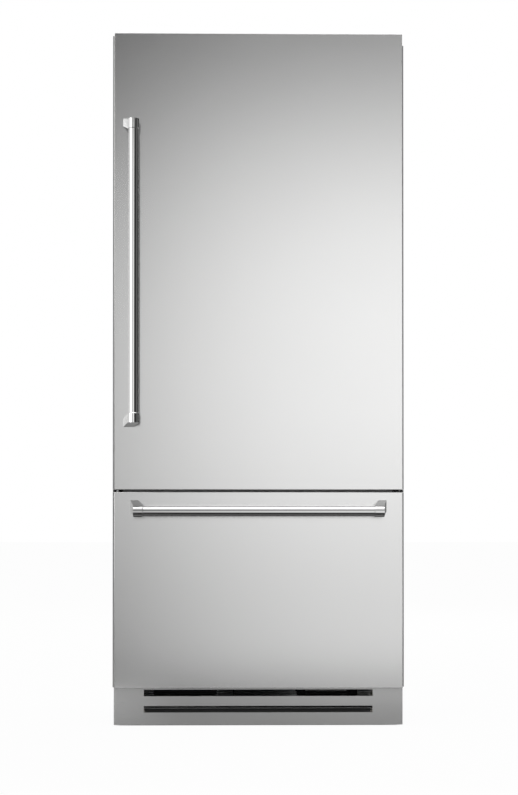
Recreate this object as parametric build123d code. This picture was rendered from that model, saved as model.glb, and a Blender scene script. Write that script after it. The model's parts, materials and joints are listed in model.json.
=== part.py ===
from build123d import *
import os

# Built-in bottom-freezer refrigerator with a stainless front, a swinging door and a freezer drawer.
# Millimetres: +X right, +Y to the back, +Z up. Every piece is drawn with Y = 0 on the face of the door,
# and moved at the end so that the origin lies on the floor under the middle of the whole.

# Whole object
WIDTH = 900.0
HEIGHT = 2134.0
DEPTH = 610.0  # face of the door to the back panel

# Door and drawer fronts
SKIN_INSET = 7.0  # side of the cabinet to the side of a front skin
SKIN_DEPTH = 36.0
SKIN_SHEET = 1.2
FRAME_DEPTH = 26.0
DRAWER_HEIGHT = 601.5
DOOR_GAP = 8.0
GASKET_DEPTH = 11.7
GASKET_WIDTH = 18.0
GASKET_MARGIN = 6.0  # edge of the cavity to the gasket
GASKET_CLEARANCE = 0.3

# Toe kick
KICK_LIFT = 2.0
KICK_HEIGHT = 115.5
KICK_GAP = 2.0
KICK_INSET = 3.0  # side of the cabinet to the side of the toe kick
KICK_SETBACK = 45.0
KICK_SHEET = 1.5
KICK_RETURN = 18.0
SLOT_END = 93.0  # side of the toe kick to the end of a slot
SLOT_HEIGHT = 20.5
SLOT_SPACING = 50.5
SLOT_TOP_MARGIN = 6.5
SLOT_LIP = 7.0
LOUVRE_DEPTH = 14.0
LOUVRE_RIM = 5.0
LOUVRE_WALL = 1.5
LOUVRE_SLATS = 2

# Handles
BAR_RADIUS = 15.0
BAR_STANDOFF = 50.0  # face to the middle of the bar
COLLAR_WALL = 2.0
COLLAR_LENGTH = 30.0
COLLAR_END = 3.0
COLLAR_CHAMFER = 1.7
BAR_FIT = 0.05
ARM_FOOT_LENGTH = 24.0
ARM_FOOT_SHIFT = 17.5  # towards the edge of the door
ARM_FOOT_FLARE = 11.5  # outwards along the bar
DOOR_HANDLE_LENGTH = 926.0
DOOR_HANDLE_HEIGHT = 1395.5
DOOR_HANDLE_INSET = 61.0
DRAWER_HANDLE_INSET = 61.0
DRAWER_HANDLE_DROP = 59.0

# Cabinet walls
WALL = 50.0
BACK_WALL = 60.0
MULLION = 60.0
WRAPPER = 0.8
LINER = 2.0
FRONT_SHEET = 1.2
BOTTOM_SHEET = 1.2
BASE_DROP = 2.5  # top of the toe kick to the underside of the cabinet
MACHINE_TOP = 330.0
MACHINE_DEPTH = 210.0
HUMP_WALL = 50.0
BULKHEAD = 1.2

# Hinges
HINGE_INSET = 18.0
HINGE_PIN_RADIUS = 4.0
HINGE_PIN_LENGTH = 20.0
HINGE_PLATE = 4.0
HINGE_ROUND = 12.0
HINGE_NECK_RIGHT = 6.0
HINGE_CLEARANCE = 2.0
HINGE_LEAF = 2.5
HINGE_LEAF_HEIGHT = 20.0
HINGE_NOTCH = 26.0
NOTCH_CLEARANCE = 1.5
BUSH_WALL = 3.0
BUSH_LENGTH = 22.0
RUNNING_FIT = 0.05

# Door liner and bins
DIKE_CLEARANCE = 16.0
DIKE_WALL = 16.0
DIKE_DEPTH = 72.0
LINER_GAP = 1.0
BIN_COUNT = 4
BIN_DEPTH = 100.0
BIN_HEIGHT = 105.0
BIN_WALL = 2.5
BIN_RIM = 5.0
BIN_FIRST_HEIGHT = 12.0
BIN_STEP_HEIGHT = 315.0
BIN_SIDE_GAP = 0.5
LEDGE = 10.0
LEDGE_THICK = 6.0

# Fridge shelves and crispers
SHELF_COUNT = 3
SHELF_STEP_HEIGHT = 270.0
SHELF_SIDE_GAP = 8.0
SHELF_DOOR_GAP = 30.0
GLASS = 4.0
TRIM_DEPTH = 12.0
TRIM_DROP = 8.0
TRIM_RISE = 6.0
BRACKET_THICK = 4.0
BRACKET_INSET = 18.0
BRACKET_HEIGHT = 48.0
UPRIGHT_WIDTH = 24.0
UPRIGHT_DEPTH = 14.0
UPRIGHT_SLOT = 12.0
UPRIGHT_SLOT_WIDTH = 4.0
UPRIGHT_SLOT_DEPTH = 7.0
UPRIGHT_SLOT_SPACING = 30.0
UPRIGHT_END = 40.0
DUCT_WIDTH = 220.0
DUCT_CLEARANCE = 1.0
DUCT_VENT = 8.0
DUCT_VENT_LENGTH = 146.0
DUCT_VENT_DEPTH = 7.0
DUCT_VENT_SPACING = 16.0
CRISPER_HEIGHT = 215.0
CRISPER_WALL = 2.5
CRISPER_FRONT_WALL = 10.0
CRISPER_GAP = 3.0
CRISPER_HEADROOM = 14.0
CRISPER_BACK_GAP = 24.0
PULL_WIDTH = 160.0
PULL_DEPTH = 22.0
PULL_HOLLOW = 5.0
DECK_RIM = 14.0
DECK_POST = 3.0
LIGHT_WIDTH = 12.0
LIGHT_DEPTH = 6.0
LIGHT_FROM_DOOR = 20.0
PANEL_WIDTH = 320.0
PANEL_DEPTH = 110.0
PANEL_DROP = 24.0
PANEL_SLOPE = 12.0

# Freezer drawer
SLIDE_HEIGHT = 46.0
SLIDE_SHEET = 1.5
SLIDE_GAP = 0.5
SLIDE_WEB_GAP = 0.8
SLIDE_THICK = 14.0
SLIDE_ABOVE_HUMP = 40.0
SLIDE_FRONT_GAP = 3.0
ARM_SHEET = 2.0
ARM_RAIL = 15.0
ARM_LEDGE = 26.0
ARM_ABOVE_SLIDE = 16.0
FREEZER_BIN_WALL = 2.5
FREEZER_BIN_LIFT = 12.0
FREEZER_BIN_FRONT_GAP = 6.0
FREEZER_BIN_BACK_GAP = 10.0
FREEZER_RIM = 3.0
TRAY_DEPTH = 200.0
TRAY_DROP = 50.0
TRAY_GAP = 0.3
TRAY_SIDE_GAP = 3.0
INNER_RIDGE = 22.0
INNER_RIDGE_WALL = 14.0

# Evaporator
COVER_SHEET = 3.0
EVAPORATOR_ROOM = 67.8  # front of the cover to the back of the freezer space
COVER_GAP = 4.0
COVER_SLOTS = 3
COVER_SLOT_FROM_MIDDLE = 8.0
COVER_SLOT_END = 100.0
COVER_SLOT_HEIGHT = 8.0
COVER_SLOT_SPACING = 16.0
EVAPORATOR_SIDE_ROOM = 130.0
EVAPORATOR_ROWS = 5
EVAPORATOR_ROW_SPACING = 30.0
EVAPORATOR_FIN_SPACING = 22.0
EVAPORATOR_FIN_DEPTH = 44.0
EVAPORATOR_LIFT = 16.0
EVAPORATOR_FAN_RADIUS = 50.0
EVAPORATOR_FAN_DEPTH = 16.0
EVAPORATOR_FAN_HEADROOM = 16.0
EVAPORATOR_HUB_RADIUS = 16.5
EVAPORATOR_CHORD = 24.0
EVAPORATOR_MOTOR_RADIUS = 24.0
EVAPORATOR_MOTOR_DEPTH = 26.0
FAN_RING_GAP = 4.0
FAN_BLADES = 5
BLADE_THICK = 2.0
BLADE_TURN = 32.0
MOTOR_ROUND = 3.5
SHAFT_RADIUS = 3.0
SHAFT_SEAT = 14.0

# Machine space
BASE_SHEET = 2.0
BASE_INSET = 23.0
BOLT_RADIUS = 4.5
BOLT_INSET = 60.0
BOLT_FROM_BACK = 80.0
BOLT_FIRST = 200.0
COMPRESSOR_RADIUS = 92.0
COMPRESSOR_HEIGHT = 175.0
COMPRESSOR_ROUND = 38.0
COMPRESSOR_SEAM = 96.0
TERMINAL_REACH = 110.0
TERMINAL_WIDTH = 62.0
TERMINAL_HEIGHT = 54.0
COMPRESSOR_INSET = 215.0
COMPRESSOR_PLATE = 4.0
COMPRESSOR_PLATE_X = 200.0
COMPRESSOR_PLATE_Y = 150.0
GROMMET_RADIUS = 14.0
GROMMET_HEIGHT = 16.0
STUB_RADIUS = 5.0
STUB_HEIGHT = 18.0
STUB_OFFSET = 48.0
TUBE_RISE = 20.0
TUBE_BEND = 15.0
CONDENSER_LENGTH = 220.0
CONDENSER_INSET = 215.0
CONDENSER_ROWS = 6
CONDENSER_ROW_SPACING = 26.0
CONDENSER_FIN_SPACING = 11.0
CONDENSER_FIN_DEPTH = 130.0
CONDENSER_LIFT = 36.0
CONDENSER_INLET = 34.0
COIL_TUBE_RADIUS = 4.0
COIL_PLATE = 2.0
FIN_SHEET = 0.6
PAN_HEIGHT = 24.0
PAN_WALL = 2.0
PAN_GAP = 4.0
CONDENSER_FAN_DEPTH = 22.0
CONDENSER_HUB_RADIUS = 22.0
CONDENSER_CHORD = 33.0
CONDENSER_MOTOR_RADIUS = 26.0
CONDENSER_MOTOR_DEPTH = 34.0
FAN_FROM_CONDENSER = 55.0
SHROUD_SHEET = 2.0
SHROUD_MARGIN = 14.0
SPIDER_WIDTH = 10.0
SPIDER_LEGS = 3
SPIDER_TURN = 30.0
CONTROL_BOX_WIDTH = 60.0
CONTROL_BOX_DEPTH = 70.0
CONTROL_BOX_HEIGHT = 50.0
CONTROL_BOX_ROUND = 4.0
MACHINE_GAP = 2.0
REAR_COVER_SHEET = 1.2
REAR_VENT_LENGTH = 220.0
REAR_VENT_HEIGHT = 5.0
REAR_VENT_SPACING = 14.0
REAR_VENTS = 9
REAR_VENT_LIFT = 28.0
INLET_WIDTH = 48.0
INLET_HEIGHT = 28.0
INLET_DEPTH = 26.0
INLET_LIP = 4.0
INLET_SOCKET = 17.0
INLET_DROP = 56.0
SCREW_RADIUS = 2.0
SCREW_HEAD_RADIUS = 4.0
SCREW_HEAD = 2.2
SCREW_LENGTH = 10.0
SCREW_EDGE = 14.0

# Feet and rollers
FOOT_PAD_RADIUS = 22.0
FOOT_PAD_HEIGHT = 10.0
FOOT_CHAMFER = 2.5
FOOT_STUD_RADIUS = 6.0
FOOT_HEADROOM = 16.0
FOOT_INSET = 90.0
FOOT_FROM_KICK = 85.0
BOSS_WALL = 7.0
BOSS_HEIGHT = 24.0
ROLLER_RADIUS = 22.0
ROLLER_WIDTH = 22.0
ROLLER_CHAMFER = 1.8
ROLLER_HEADROOM = 5.0
ROLLER_INSET = 90.0
ROLLER_FROM_BACK = 50.0
AXLE_RADIUS = 4.0
EAR = 3.0
EAR_GAP = 0.5
EAR_REACH = 9.0

# How far a cut runs past the faces that it opens
CUT = 1.0

# Stations worked out from the sizes above
HALF = WIDTH / 2
SKIN_HALF = HALF - SKIN_INSET
KICK_HALF = HALF - KICK_INSET
SLOT_HALF = KICK_HALF - SLOT_END
DRAWER_HANDLE_LENGTH = 2 * (SKIN_HALF - DRAWER_HANDLE_INSET)
BASE_HALF = HALF - BASE_INSET
BOLT_HALF = HALF - BOLT_INSET
FOOT_X = HALF - FOOT_INSET
ROLLER_X = HALF - ROLLER_INSET
COMPRESSOR_X = HALF - COMPRESSOR_INSET
CONDENSER_X = CONDENSER_INSET - HALF
CONDENSER_FAN_X = CONDENSER_X + CONDENSER_LENGTH / 2 + FAN_FROM_CONDENSER
SKIN_BEND = 2 * SKIN_SHEET
FRAME_BACK = SKIN_DEPTH + FRAME_DEPTH
GASKET_BACK = FRAME_BACK + GASKET_DEPTH
CABINET_FRONT = GASKET_BACK + GASKET_CLEARANCE
FOAM_FRONT = CABINET_FRONT + FRONT_SHEET
INNER_FACE = FRAME_BACK + LINER  # inner face of the door and drawer liners
CAVITY_HALF = HALF - WALL
CAVITY_BACK = DEPTH - BACK_WALL
LINER_HALF = CAVITY_HALF + LINER
EVAPORATOR_LENGTH = 2 * (CAVITY_HALF - EVAPORATOR_SIDE_ROOM)
LINER_BACK = CAVITY_BACK + LINER
FOAM_BACK = DEPTH - WRAPPER
KICK_TOP = KICK_LIFT + KICK_HEIGHT
KICK_BACK = KICK_SETBACK + KICK_SHEET
BASE_HEIGHT = KICK_TOP - BASE_DROP
DRAWER_BOTTOM = KICK_TOP + KICK_GAP
DRAWER_TOP = DRAWER_BOTTOM + DRAWER_HEIGHT
DOOR_BOTTOM = DRAWER_TOP + DOOR_GAP
MULLION_MIDDLE = (DRAWER_TOP + DOOR_BOTTOM) / 2
FRIDGE_FLOOR = MULLION_MIDDLE + MULLION / 2
FRIDGE_TOP = HEIGHT - WALL
FREEZER_FLOOR = BASE_HEIGHT + WALL
FREEZER_TOP = MULLION_MIDDLE - MULLION / 2
FOAM_BOTTOM = BASE_HEIGHT + BOTTOM_SHEET
FOAM_TOP = HEIGHT - WRAPPER
MACHINE_FRONT = DEPTH - MACHINE_DEPTH
HUMP_FRONT = MACHINE_FRONT - HUMP_WALL
HUMP_TOP = MACHINE_TOP + HUMP_WALL
BULKHEAD_TOP = MACHINE_TOP + BULKHEAD
HINGE_X = HALF - HINGE_INSET
HINGE_Y = SKIN_DEPTH + FRAME_DEPTH / 2
NOTCH_FLOOR = HEIGHT - HINGE_NOTCH
COLLAR_RADIUS = BAR_RADIUS + BAR_FIT + COLLAR_WALL
DIKE_HALF = CAVITY_HALF - DIKE_CLEARANCE
DIKE_BACK = FRAME_BACK + DIKE_DEPTH
DIKE_INSIDE = DIKE_HALF - DIKE_WALL
DIKE_FLOOR = FRIDGE_FLOOR + DIKE_CLEARANCE + DIKE_WALL
SHELF_FRONT = INNER_FACE + BIN_DEPTH + SHELF_DOOR_GAP
SHELF_BACK = CAVITY_BACK - UPRIGHT_DEPTH
SHELF_HALF = CAVITY_HALF - SHELF_SIDE_GAP
DECK_Z = FRIDGE_FLOOR + CRISPER_HEIGHT + CRISPER_HEADROOM + TRIM_DROP
SLIDE_Z = HUMP_TOP + SLIDE_ABOVE_HUMP + SLIDE_HEIGHT / 2
SLIDE_FRONT = FOAM_FRONT + SLIDE_FRONT_GAP
COVER_FRONT = CAVITY_BACK - EVAPORATOR_ROOM
SLIDE_BACK = COVER_FRONT - COVER_GAP
ARM_OUTSIDE = CAVITY_HALF - SLIDE_THICK
ARM_INSIDE = ARM_OUTSIDE - ARM_SHEET
ARM_BOTTOM = SLIDE_Z - SLIDE_HEIGHT / 2
ARM_TOP = SLIDE_Z + SLIDE_HEIGHT / 2 + ARM_ABOVE_SLIDE
BASE_FLOOR = 2 * ROLLER_RADIUS + ROLLER_HEADROOM + EAR
BASE_TOP = BASE_FLOOR + BASE_SHEET
BASE_FRONT = KICK_BACK + LOUVRE_DEPTH
REAR_COVER_BACK = DEPTH - SCREW_HEAD
REAR_COVER_FRONT = REAR_COVER_BACK - REAR_COVER_SHEET
MACHINE_MIDDLE = (MACHINE_FRONT + REAR_COVER_FRONT) / 2
SHROUD_HALF = (REAR_COVER_FRONT - MACHINE_FRONT) / 2 - MACHINE_GAP
CONDENSER_FAN_RADIUS = SHROUD_HALF - SHROUD_MARGIN
FAN_Z = BASE_TOP + SHROUD_HALF
ORIGIN_Y = (DEPTH - BAR_STANDOFF - COLLAR_RADIUS) / 2


def block(x, y, z):
    """Block between two places along each axis."""
    size = (x[1] - x[0], y[1] - y[0], z[1] - z[0])
    middle = (sum(x) / 2, sum(y) / 2, sum(z) / 2)
    return Pos(*middle) * Box(*size)


def centred(half):
    """Span of the given half width about the middle."""
    return (-half, half)


def prism_x(outline, x):
    """Prism along X over an outline of (y, z) points."""
    face = Plane.YZ.offset(x[0]) * make_face(Polyline(*outline, close=True))
    return extrude(face, x[1] - x[0])


def prism_y(outline, y):
    """Prism along Y over an outline of (x, z) points."""
    face = Plane.XZ.offset(-y[1]) * make_face(Polyline(*outline, close=True))
    return extrude(face, y[1] - y[0])


def rod(start, axis, radius, length):
    """Round rod that leaves a point along an axis."""
    return extrude(Plane(start, z_dir=axis) * Circle(radius), length)


def mirrored(piece):
    """A piece and its mirror image on the other side of the object."""
    return [piece, mirror(piece, about=Plane.YZ)]


def ring_frame(half, z, wall, y):
    """Rectangular ring about the middle, with the given wall."""
    outer = block(centred(half), y, z)
    inside = (z[0] + wall, z[1] - wall)
    return outer - block(centred(half - wall), (y[0] - CUT, y[1] + CUT), inside)


def open_box(x, y, z, wall):
    """Box with a floor and four walls, open at the top."""
    inner_x = (x[0] + wall, x[1] - wall)
    inner_y = (y[0] + wall, y[1] - wall)
    return block(x, y, z) - block(inner_x, inner_y, (z[0] + wall, z[1] + CUT))


# Cabinet


def cabinet_wrapper():
    """Bent sheet over both sides and the top."""
    outer = block(centred(HALF), (FOAM_FRONT, DEPTH), (BASE_HEIGHT, HEIGHT))
    through = (FOAM_FRONT - CUT, DEPTH + CUT)
    return outer - block(centred(HALF - WRAPPER), through, (BASE_HEIGHT - CUT, FOAM_TOP))


def machine_opening(y):
    """Space that the machine compartment leaves in the back and the bottom."""
    return block(centred(LINER_HALF), y, (BASE_HEIGHT - CUT, BULKHEAD_TOP))


def back_panel():
    """Sheet over the back, with legs beside the machine compartment."""
    sheet = block(centred(HALF - WRAPPER), (FOAM_BACK, DEPTH), (BASE_HEIGHT, FOAM_TOP))
    return sheet - machine_opening((FOAM_BACK - CUT, DEPTH + CUT))


def bottom_plate():
    """Sheet under the cabinet, bent up and back over the machine compartment."""
    sheet = block(centred(HALF - WRAPPER), (FOAM_FRONT, FOAM_BACK), (BASE_HEIGHT, FOAM_BOTTOM))
    sheet -= machine_opening((MACHINE_FRONT, DEPTH))
    wall_y = (MACHINE_FRONT - BULKHEAD, MACHINE_FRONT)
    wall = block(centred(LINER_HALF), wall_y, (BASE_HEIGHT, BULKHEAD_TOP))
    roof = block(centred(LINER_HALF), (MACHINE_FRONT, FOAM_BACK), (MACHINE_TOP, BULKHEAD_TOP))
    return sheet + wall + roof


def insulation():
    """Foam slabs between the wrapper and the liners."""
    side = block((LINER_HALF, HALF - WRAPPER), (FOAM_FRONT, FOAM_BACK), (FOAM_BOTTOM, FOAM_TOP))
    across = centred(LINER_HALF)
    over_cavity = (FOAM_FRONT, LINER_BACK)
    top = block(across, over_cavity, (FRIDGE_TOP + LINER, FOAM_TOP))
    back = block(across, (LINER_BACK, FOAM_BACK), (BULKHEAD_TOP, FOAM_TOP))
    mullion = block(across, over_cavity, (FREEZER_TOP + LINER, FRIDGE_FLOOR - LINER))
    floor = block(across, (FOAM_FRONT, HUMP_FRONT + LINER), (FOAM_BOTTOM, FREEZER_FLOOR - LINER))
    riser = block(across, (HUMP_FRONT + LINER, MACHINE_FRONT - BULKHEAD), (FOAM_BOTTOM, BULKHEAD_TOP))
    hump = block(across, (HUMP_FRONT + LINER, LINER_BACK), (BULKHEAD_TOP, HUMP_TOP - LINER))
    return mirrored(side) + [top, back, mullion, floor, riser, hump]


def front_frame():
    """Steel face of the cabinet that the gaskets close on."""
    depth = (CABINET_FRONT, FOAM_FRONT)
    through = (CABINET_FRONT - CUT, FOAM_FRONT + CUT)
    sheet = block(centred(HALF), depth, (BASE_HEIGHT, HEIGHT))
    for floor, top in ((FREEZER_FLOOR, FREEZER_TOP), (FRIDGE_FLOOR, FRIDGE_TOP)):
        sheet -= block(centred(CAVITY_HALF), through, (floor, top))
    return sheet


def fridge_liner():
    """Moulded inner wall of the fridge space."""
    outer_z = (FRIDGE_FLOOR - LINER, FRIDGE_TOP + LINER)
    outer = block(centred(LINER_HALF), (FOAM_FRONT, LINER_BACK), outer_z)
    return outer - block(centred(CAVITY_HALF), (FOAM_FRONT - CUT, CAVITY_BACK), (FRIDGE_FLOOR, FRIDGE_TOP))


def stepped_outline(front, wall):
    """Outline of the freezer space with its step over the machine compartment."""
    floor = FREEZER_FLOOR - wall
    top = FREEZER_TOP + wall
    knee = HUMP_FRONT + wall
    step = HUMP_TOP - wall
    back = CAVITY_BACK + wall
    return [(front, floor), (knee, floor), (knee, step), (back, step), (back, top), (front, top)]


def freezer_liner():
    """Moulded inner wall of the freezer space."""
    outer = prism_x(stepped_outline(FOAM_FRONT, LINER), centred(LINER_HALF))
    return outer - prism_x(stepped_outline(FOAM_FRONT - CUT, 0.0), centred(CAVITY_HALF))


# Base, toe kick, feet and rollers


def foot_places():
    """Middle of each levelling foot on the floor, left then right."""
    return [(side * FOOT_X, KICK_BACK + FOOT_FROM_KICK) for side in (-1, 1)]


def base_tray():
    """Bent tray under the cabinet, with bosses for the feet and four bolt holes."""
    floor = block(centred(BASE_HALF), (BASE_FRONT, FOAM_BACK), (BASE_FLOOR, BASE_TOP))
    flange = block((BASE_HALF - BASE_SHEET, BASE_HALF), (KICK_BACK, FOAM_BACK), (BASE_FLOOR, BASE_HEIGHT))
    tray = floor
    for side in mirrored(flange):
        tray += side
    bore = FOOT_STUD_RADIUS + RUNNING_FIT
    for x, y in foot_places():
        tray += rod((x, y, BASE_FLOOR), (0, 0, 1), bore + BOSS_WALL, BASE_SHEET + BOSS_HEIGHT)
        tray -= rod((x, y, BASE_FLOOR - CUT), (0, 0, 1), bore, BASE_SHEET + BOSS_HEIGHT + 2 * CUT)
    for x in centred(BOLT_HALF):
        for y in (BOLT_FIRST, DEPTH - BOLT_FROM_BACK):
            tray -= rod((x, y, BASE_FLOOR - CUT), (0, 0, 1), BOLT_RADIUS, BASE_SHEET + 2 * CUT)
    return tray


def slot_middles():
    """Heights of the two air slots."""
    upper = KICK_TOP - SLOT_TOP_MARGIN - SLOT_HEIGHT / 2
    return [upper, upper - SLOT_SPACING]


def slot_span(middle):
    """Height span of a slot."""
    return (middle - SLOT_HEIGHT / 2, middle + SLOT_HEIGHT / 2)


def toe_kick():
    """Sheet with side and bottom returns and two slots with lips turned inwards."""
    kick = block(centred(KICK_HALF), (KICK_SETBACK, KICK_SETBACK + KICK_RETURN), (KICK_LIFT, KICK_TOP))
    hollow = (KICK_BACK, KICK_SETBACK + KICK_RETURN + CUT)
    kick -= block(centred(KICK_HALF - KICK_SHEET), hollow, (KICK_LIFT + KICK_SHEET, KICK_TOP + CUT))
    lip_half = SLOT_HALF + KICK_SHEET
    for middle in slot_middles():
        low, high = slot_span(middle)
        lip_z = (low - KICK_SHEET, high + KICK_SHEET)
        kick += block(centred(lip_half), (KICK_BACK, KICK_BACK + SLOT_LIP), lip_z)
        through = (KICK_SETBACK - CUT, KICK_BACK + SLOT_LIP + CUT)
        kick -= block(centred(SLOT_HALF), through, (low, high))
    return kick


def kick_louvre():
    """Dark slatted frames behind the slots, sleeved over their lips."""
    frames = []
    y = (KICK_BACK, KICK_BACK + LOUVRE_DEPTH)
    for middle in slot_middles():
        low, high = slot_span(middle)
        inner_half = SLOT_HALF + KICK_SHEET
        inner = (low - KICK_SHEET, high + KICK_SHEET)
        outer = (inner[0] - LOUVRE_RIM, inner[1] + LOUVRE_RIM)
        frame = block(centred(inner_half + LOUVRE_RIM), y, outer)
        frame -= block(centred(inner_half), (y[0] - CUT, y[1] + CUT), inner)
        spacing = SLOT_HEIGHT / (LOUVRE_SLATS + 1)
        slat_y = (KICK_BACK + SLOT_LIP, y[1])
        for index in range(LOUVRE_SLATS):
            z = low + spacing * (index + 1)
            frame += block(centred(inner_half + CUT), slat_y, (z, z + LOUVRE_WALL))
        frames.append(frame)
    return frames


def levelling_foot(place):
    """Round pad with a threaded stud that runs in the boss of the base tray."""
    x, y = place
    pad = rod((x, y, 0), (0, 0, 1), FOOT_PAD_RADIUS, FOOT_PAD_HEIGHT)
    pad = chamfer(pad.edges().group_by(Axis.Z)[-1], FOOT_CHAMFER)
    return pad + rod((x, y, 0), (0, 0, 1), FOOT_STUD_RADIUS, BASE_HEIGHT - FOOT_HEADROOM)


ROLLER_Y = DEPTH - ROLLER_FROM_BACK


def roller(side):
    """Rear roller with its bore."""
    x = side * ROLLER_X - ROLLER_WIDTH / 2
    wheel = rod((x, ROLLER_Y, ROLLER_RADIUS), (1, 0, 0), ROLLER_RADIUS, ROLLER_WIDTH)
    wheel = chamfer(wheel.edges().filter_by(GeomType.CIRCLE), ROLLER_CHAMFER)
    bore = AXLE_RADIUS + RUNNING_FIT
    return wheel - rod((x - CUT, ROLLER_Y, ROLLER_RADIUS), (1, 0, 0), bore, ROLLER_WIDTH + 2 * CUT)


def roller_bracket(side):
    """Two ears under the base tray with the axle riveted between them."""
    inner = ROLLER_WIDTH / 2 + EAR_GAP
    outer = inner + EAR
    x = side * ROLLER_X
    ear_y = (ROLLER_Y - EAR_REACH, ROLLER_Y + EAR_REACH)
    saddle = block((x - outer, x + outer), ear_y, (BASE_FLOOR - EAR, BASE_FLOOR))
    for low, high in ((-outer, -inner), (inner, outer)):
        saddle += block((x + low, x + high), ear_y, (ROLLER_RADIUS, BASE_FLOOR))
        saddle += rod((x + low, ROLLER_Y, ROLLER_RADIUS), (1, 0, 0), EAR_REACH, EAR)
    return saddle + rod((x - outer, ROLLER_Y, ROLLER_RADIUS), (1, 0, 0), AXLE_RADIUS, 2 * outer)


# Door and drawer fronts


def front_skin(bottom, top):
    """Stainless pan, open at the back."""
    pan = block(centred(SKIN_HALF), (0, SKIN_DEPTH), (bottom, top))
    pan = fillet(pan.faces().sort_by(Axis.Y)[0].edges(), SKIN_BEND)
    inside = (bottom + SKIN_SHEET, top - SKIN_SHEET)
    return pan - block(centred(SKIN_HALF - SKIN_SHEET), (SKIN_SHEET, SKIN_DEPTH + CUT), inside)


def front_core(bottom, top):
    """Foamed core that fills a front skin and is a little wider behind it."""
    inside = (bottom + SKIN_SHEET, top - SKIN_SHEET)
    filling = block(centred(SKIN_HALF - SKIN_SHEET), (SKIN_SHEET, SKIN_DEPTH), inside)
    return filling + block(centred(HALF), (SKIN_DEPTH, FRAME_BACK), (bottom, top))


def door_core():
    """Core of the door, bored for the bushes and notched for the upper hinge."""
    core = front_core(DOOR_BOTTOM, HEIGHT)
    notch_x = (HINGE_X - HINGE_ROUND - NOTCH_CLEARANCE, HALF + CUT)
    core -= block(notch_x, (SKIN_DEPTH, FRAME_BACK + CUT), (NOTCH_FLOOR, HEIGHT + CUT))
    bush = HINGE_PIN_RADIUS + RUNNING_FIT + BUSH_WALL
    for z in (DOOR_BOTTOM, NOTCH_FLOOR - BUSH_LENGTH):
        core -= rod((HINGE_X, HINGE_Y, z), (0, 0, 1), bush, BUSH_LENGTH)
    return core


def gasket(floor, top):
    """Seal round a cavity, on the back of its frame."""
    out = GASKET_MARGIN + GASKET_WIDTH
    return ring_frame(CAVITY_HALF + out, (floor - out, top + out), GASKET_WIDTH, (FRAME_BACK, GASKET_BACK))


def inner_panel(floor, top):
    """Flat sheet of a front's liner, inside its gasket."""
    out = GASKET_MARGIN - LINER_GAP
    return block(centred(CAVITY_HALF + out), (FRAME_BACK, INNER_FACE), (floor - out, top + out))


def bin_floors():
    """Heights at which the door bins stand."""
    return [DIKE_FLOOR + BIN_FIRST_HEIGHT + index * BIN_STEP_HEIGHT for index in range(BIN_COUNT)]


def door_liner():
    """Inner sheet of the door with its raised rim and the ledges that carry the bins."""
    z = (FRIDGE_FLOOR + DIKE_CLEARANCE, FRIDGE_TOP - DIKE_CLEARANCE)
    y = (INNER_FACE, DIKE_BACK)
    liner = inner_panel(FRIDGE_FLOOR, FRIDGE_TOP) + ring_frame(DIKE_HALF, z, DIKE_WALL, y)
    for floor in bin_floors():
        ledge = block((DIKE_INSIDE - LEDGE, DIKE_INSIDE), y, (floor - LEDGE_THICK, floor))
        for side in mirrored(ledge):
            liner += side
    return liner


def door_bin(floor):
    """Clear bin that stands on two ledges of the door liner."""
    half = DIKE_INSIDE - BIN_SIDE_GAP
    y = (INNER_FACE + BIN_SIDE_GAP, INNER_FACE + BIN_DEPTH)
    body = open_box(centred(half), y, (floor, floor + BIN_HEIGHT), BIN_WALL)
    rim_z = (floor + BIN_HEIGHT - BIN_RIM, floor + BIN_HEIGHT)
    return body + block(centred(half), (y[1] - BIN_RIM, y[1]), rim_z)


def drawer_liner():
    """Inner sheet of the drawer front with a shallow raised rim."""
    z = (FREEZER_FLOOR + DIKE_CLEARANCE, FREEZER_TOP - DIKE_CLEARANCE)
    ridge = ring_frame(DIKE_HALF, z, INNER_RIDGE_WALL, (INNER_FACE, INNER_FACE + INNER_RIDGE))
    for side in mirrored(arm_notch()):
        ridge -= side
    return inner_panel(FREEZER_FLOOR, FREEZER_TOP) + ridge


# Handles


def handle_bracket():
    """Cast bracket at the upper end of an upright bar, with its collar from the origin up."""
    foot_middle = COLLAR_LENGTH + ARM_FOOT_FLARE - ARM_FOOT_LENGTH / 2
    foot = Plane.XZ * Rectangle(2 * COLLAR_RADIUS, ARM_FOOT_LENGTH)
    neck = Plane.XZ * Rectangle(2 * COLLAR_RADIUS, COLLAR_LENGTH)
    foot = Pos(-ARM_FOOT_SHIFT, BAR_STANDOFF, foot_middle) * foot
    arm = loft([foot, Pos(0, 0, COLLAR_LENGTH / 2) * neck], ruled=True)
    collar = rod((0, 0, 0), (0, 0, 1), COLLAR_RADIUS, COLLAR_LENGTH)
    collar = chamfer(collar.edges().filter_by(GeomType.CIRCLE).sort_by(Axis.Z)[0], COLLAR_CHAMFER)
    bore = rod((0, 0, -CUT), (0, 0, 1), BAR_RADIUS + BAR_FIT, COLLAR_LENGTH - COLLAR_END + CUT)
    return arm + collar - bore


def handle_brackets(length):
    """Both brackets of an upright handle, with the bar's middle at the origin."""
    upper = Pos(0, 0, length / 2 - COLLAR_LENGTH) * handle_bracket()
    return [upper, mirror(upper, about=Plane.XY)]


def handle_bar(length):
    """Round bar that reaches into both collars."""
    reach = length / 2 - COLLAR_END
    return rod((0, 0, -reach), (0, 0, 1), BAR_RADIUS, 2 * reach)


DOOR_HANDLE = Pos(DOOR_HANDLE_INSET - SKIN_HALF, -BAR_STANDOFF, DOOR_HANDLE_HEIGHT)
DRAWER_HANDLE = Pos(0, -BAR_STANDOFF, DRAWER_TOP - DRAWER_HANDLE_DROP) * Rot(0, 90, 0)


# Hinges


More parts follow.
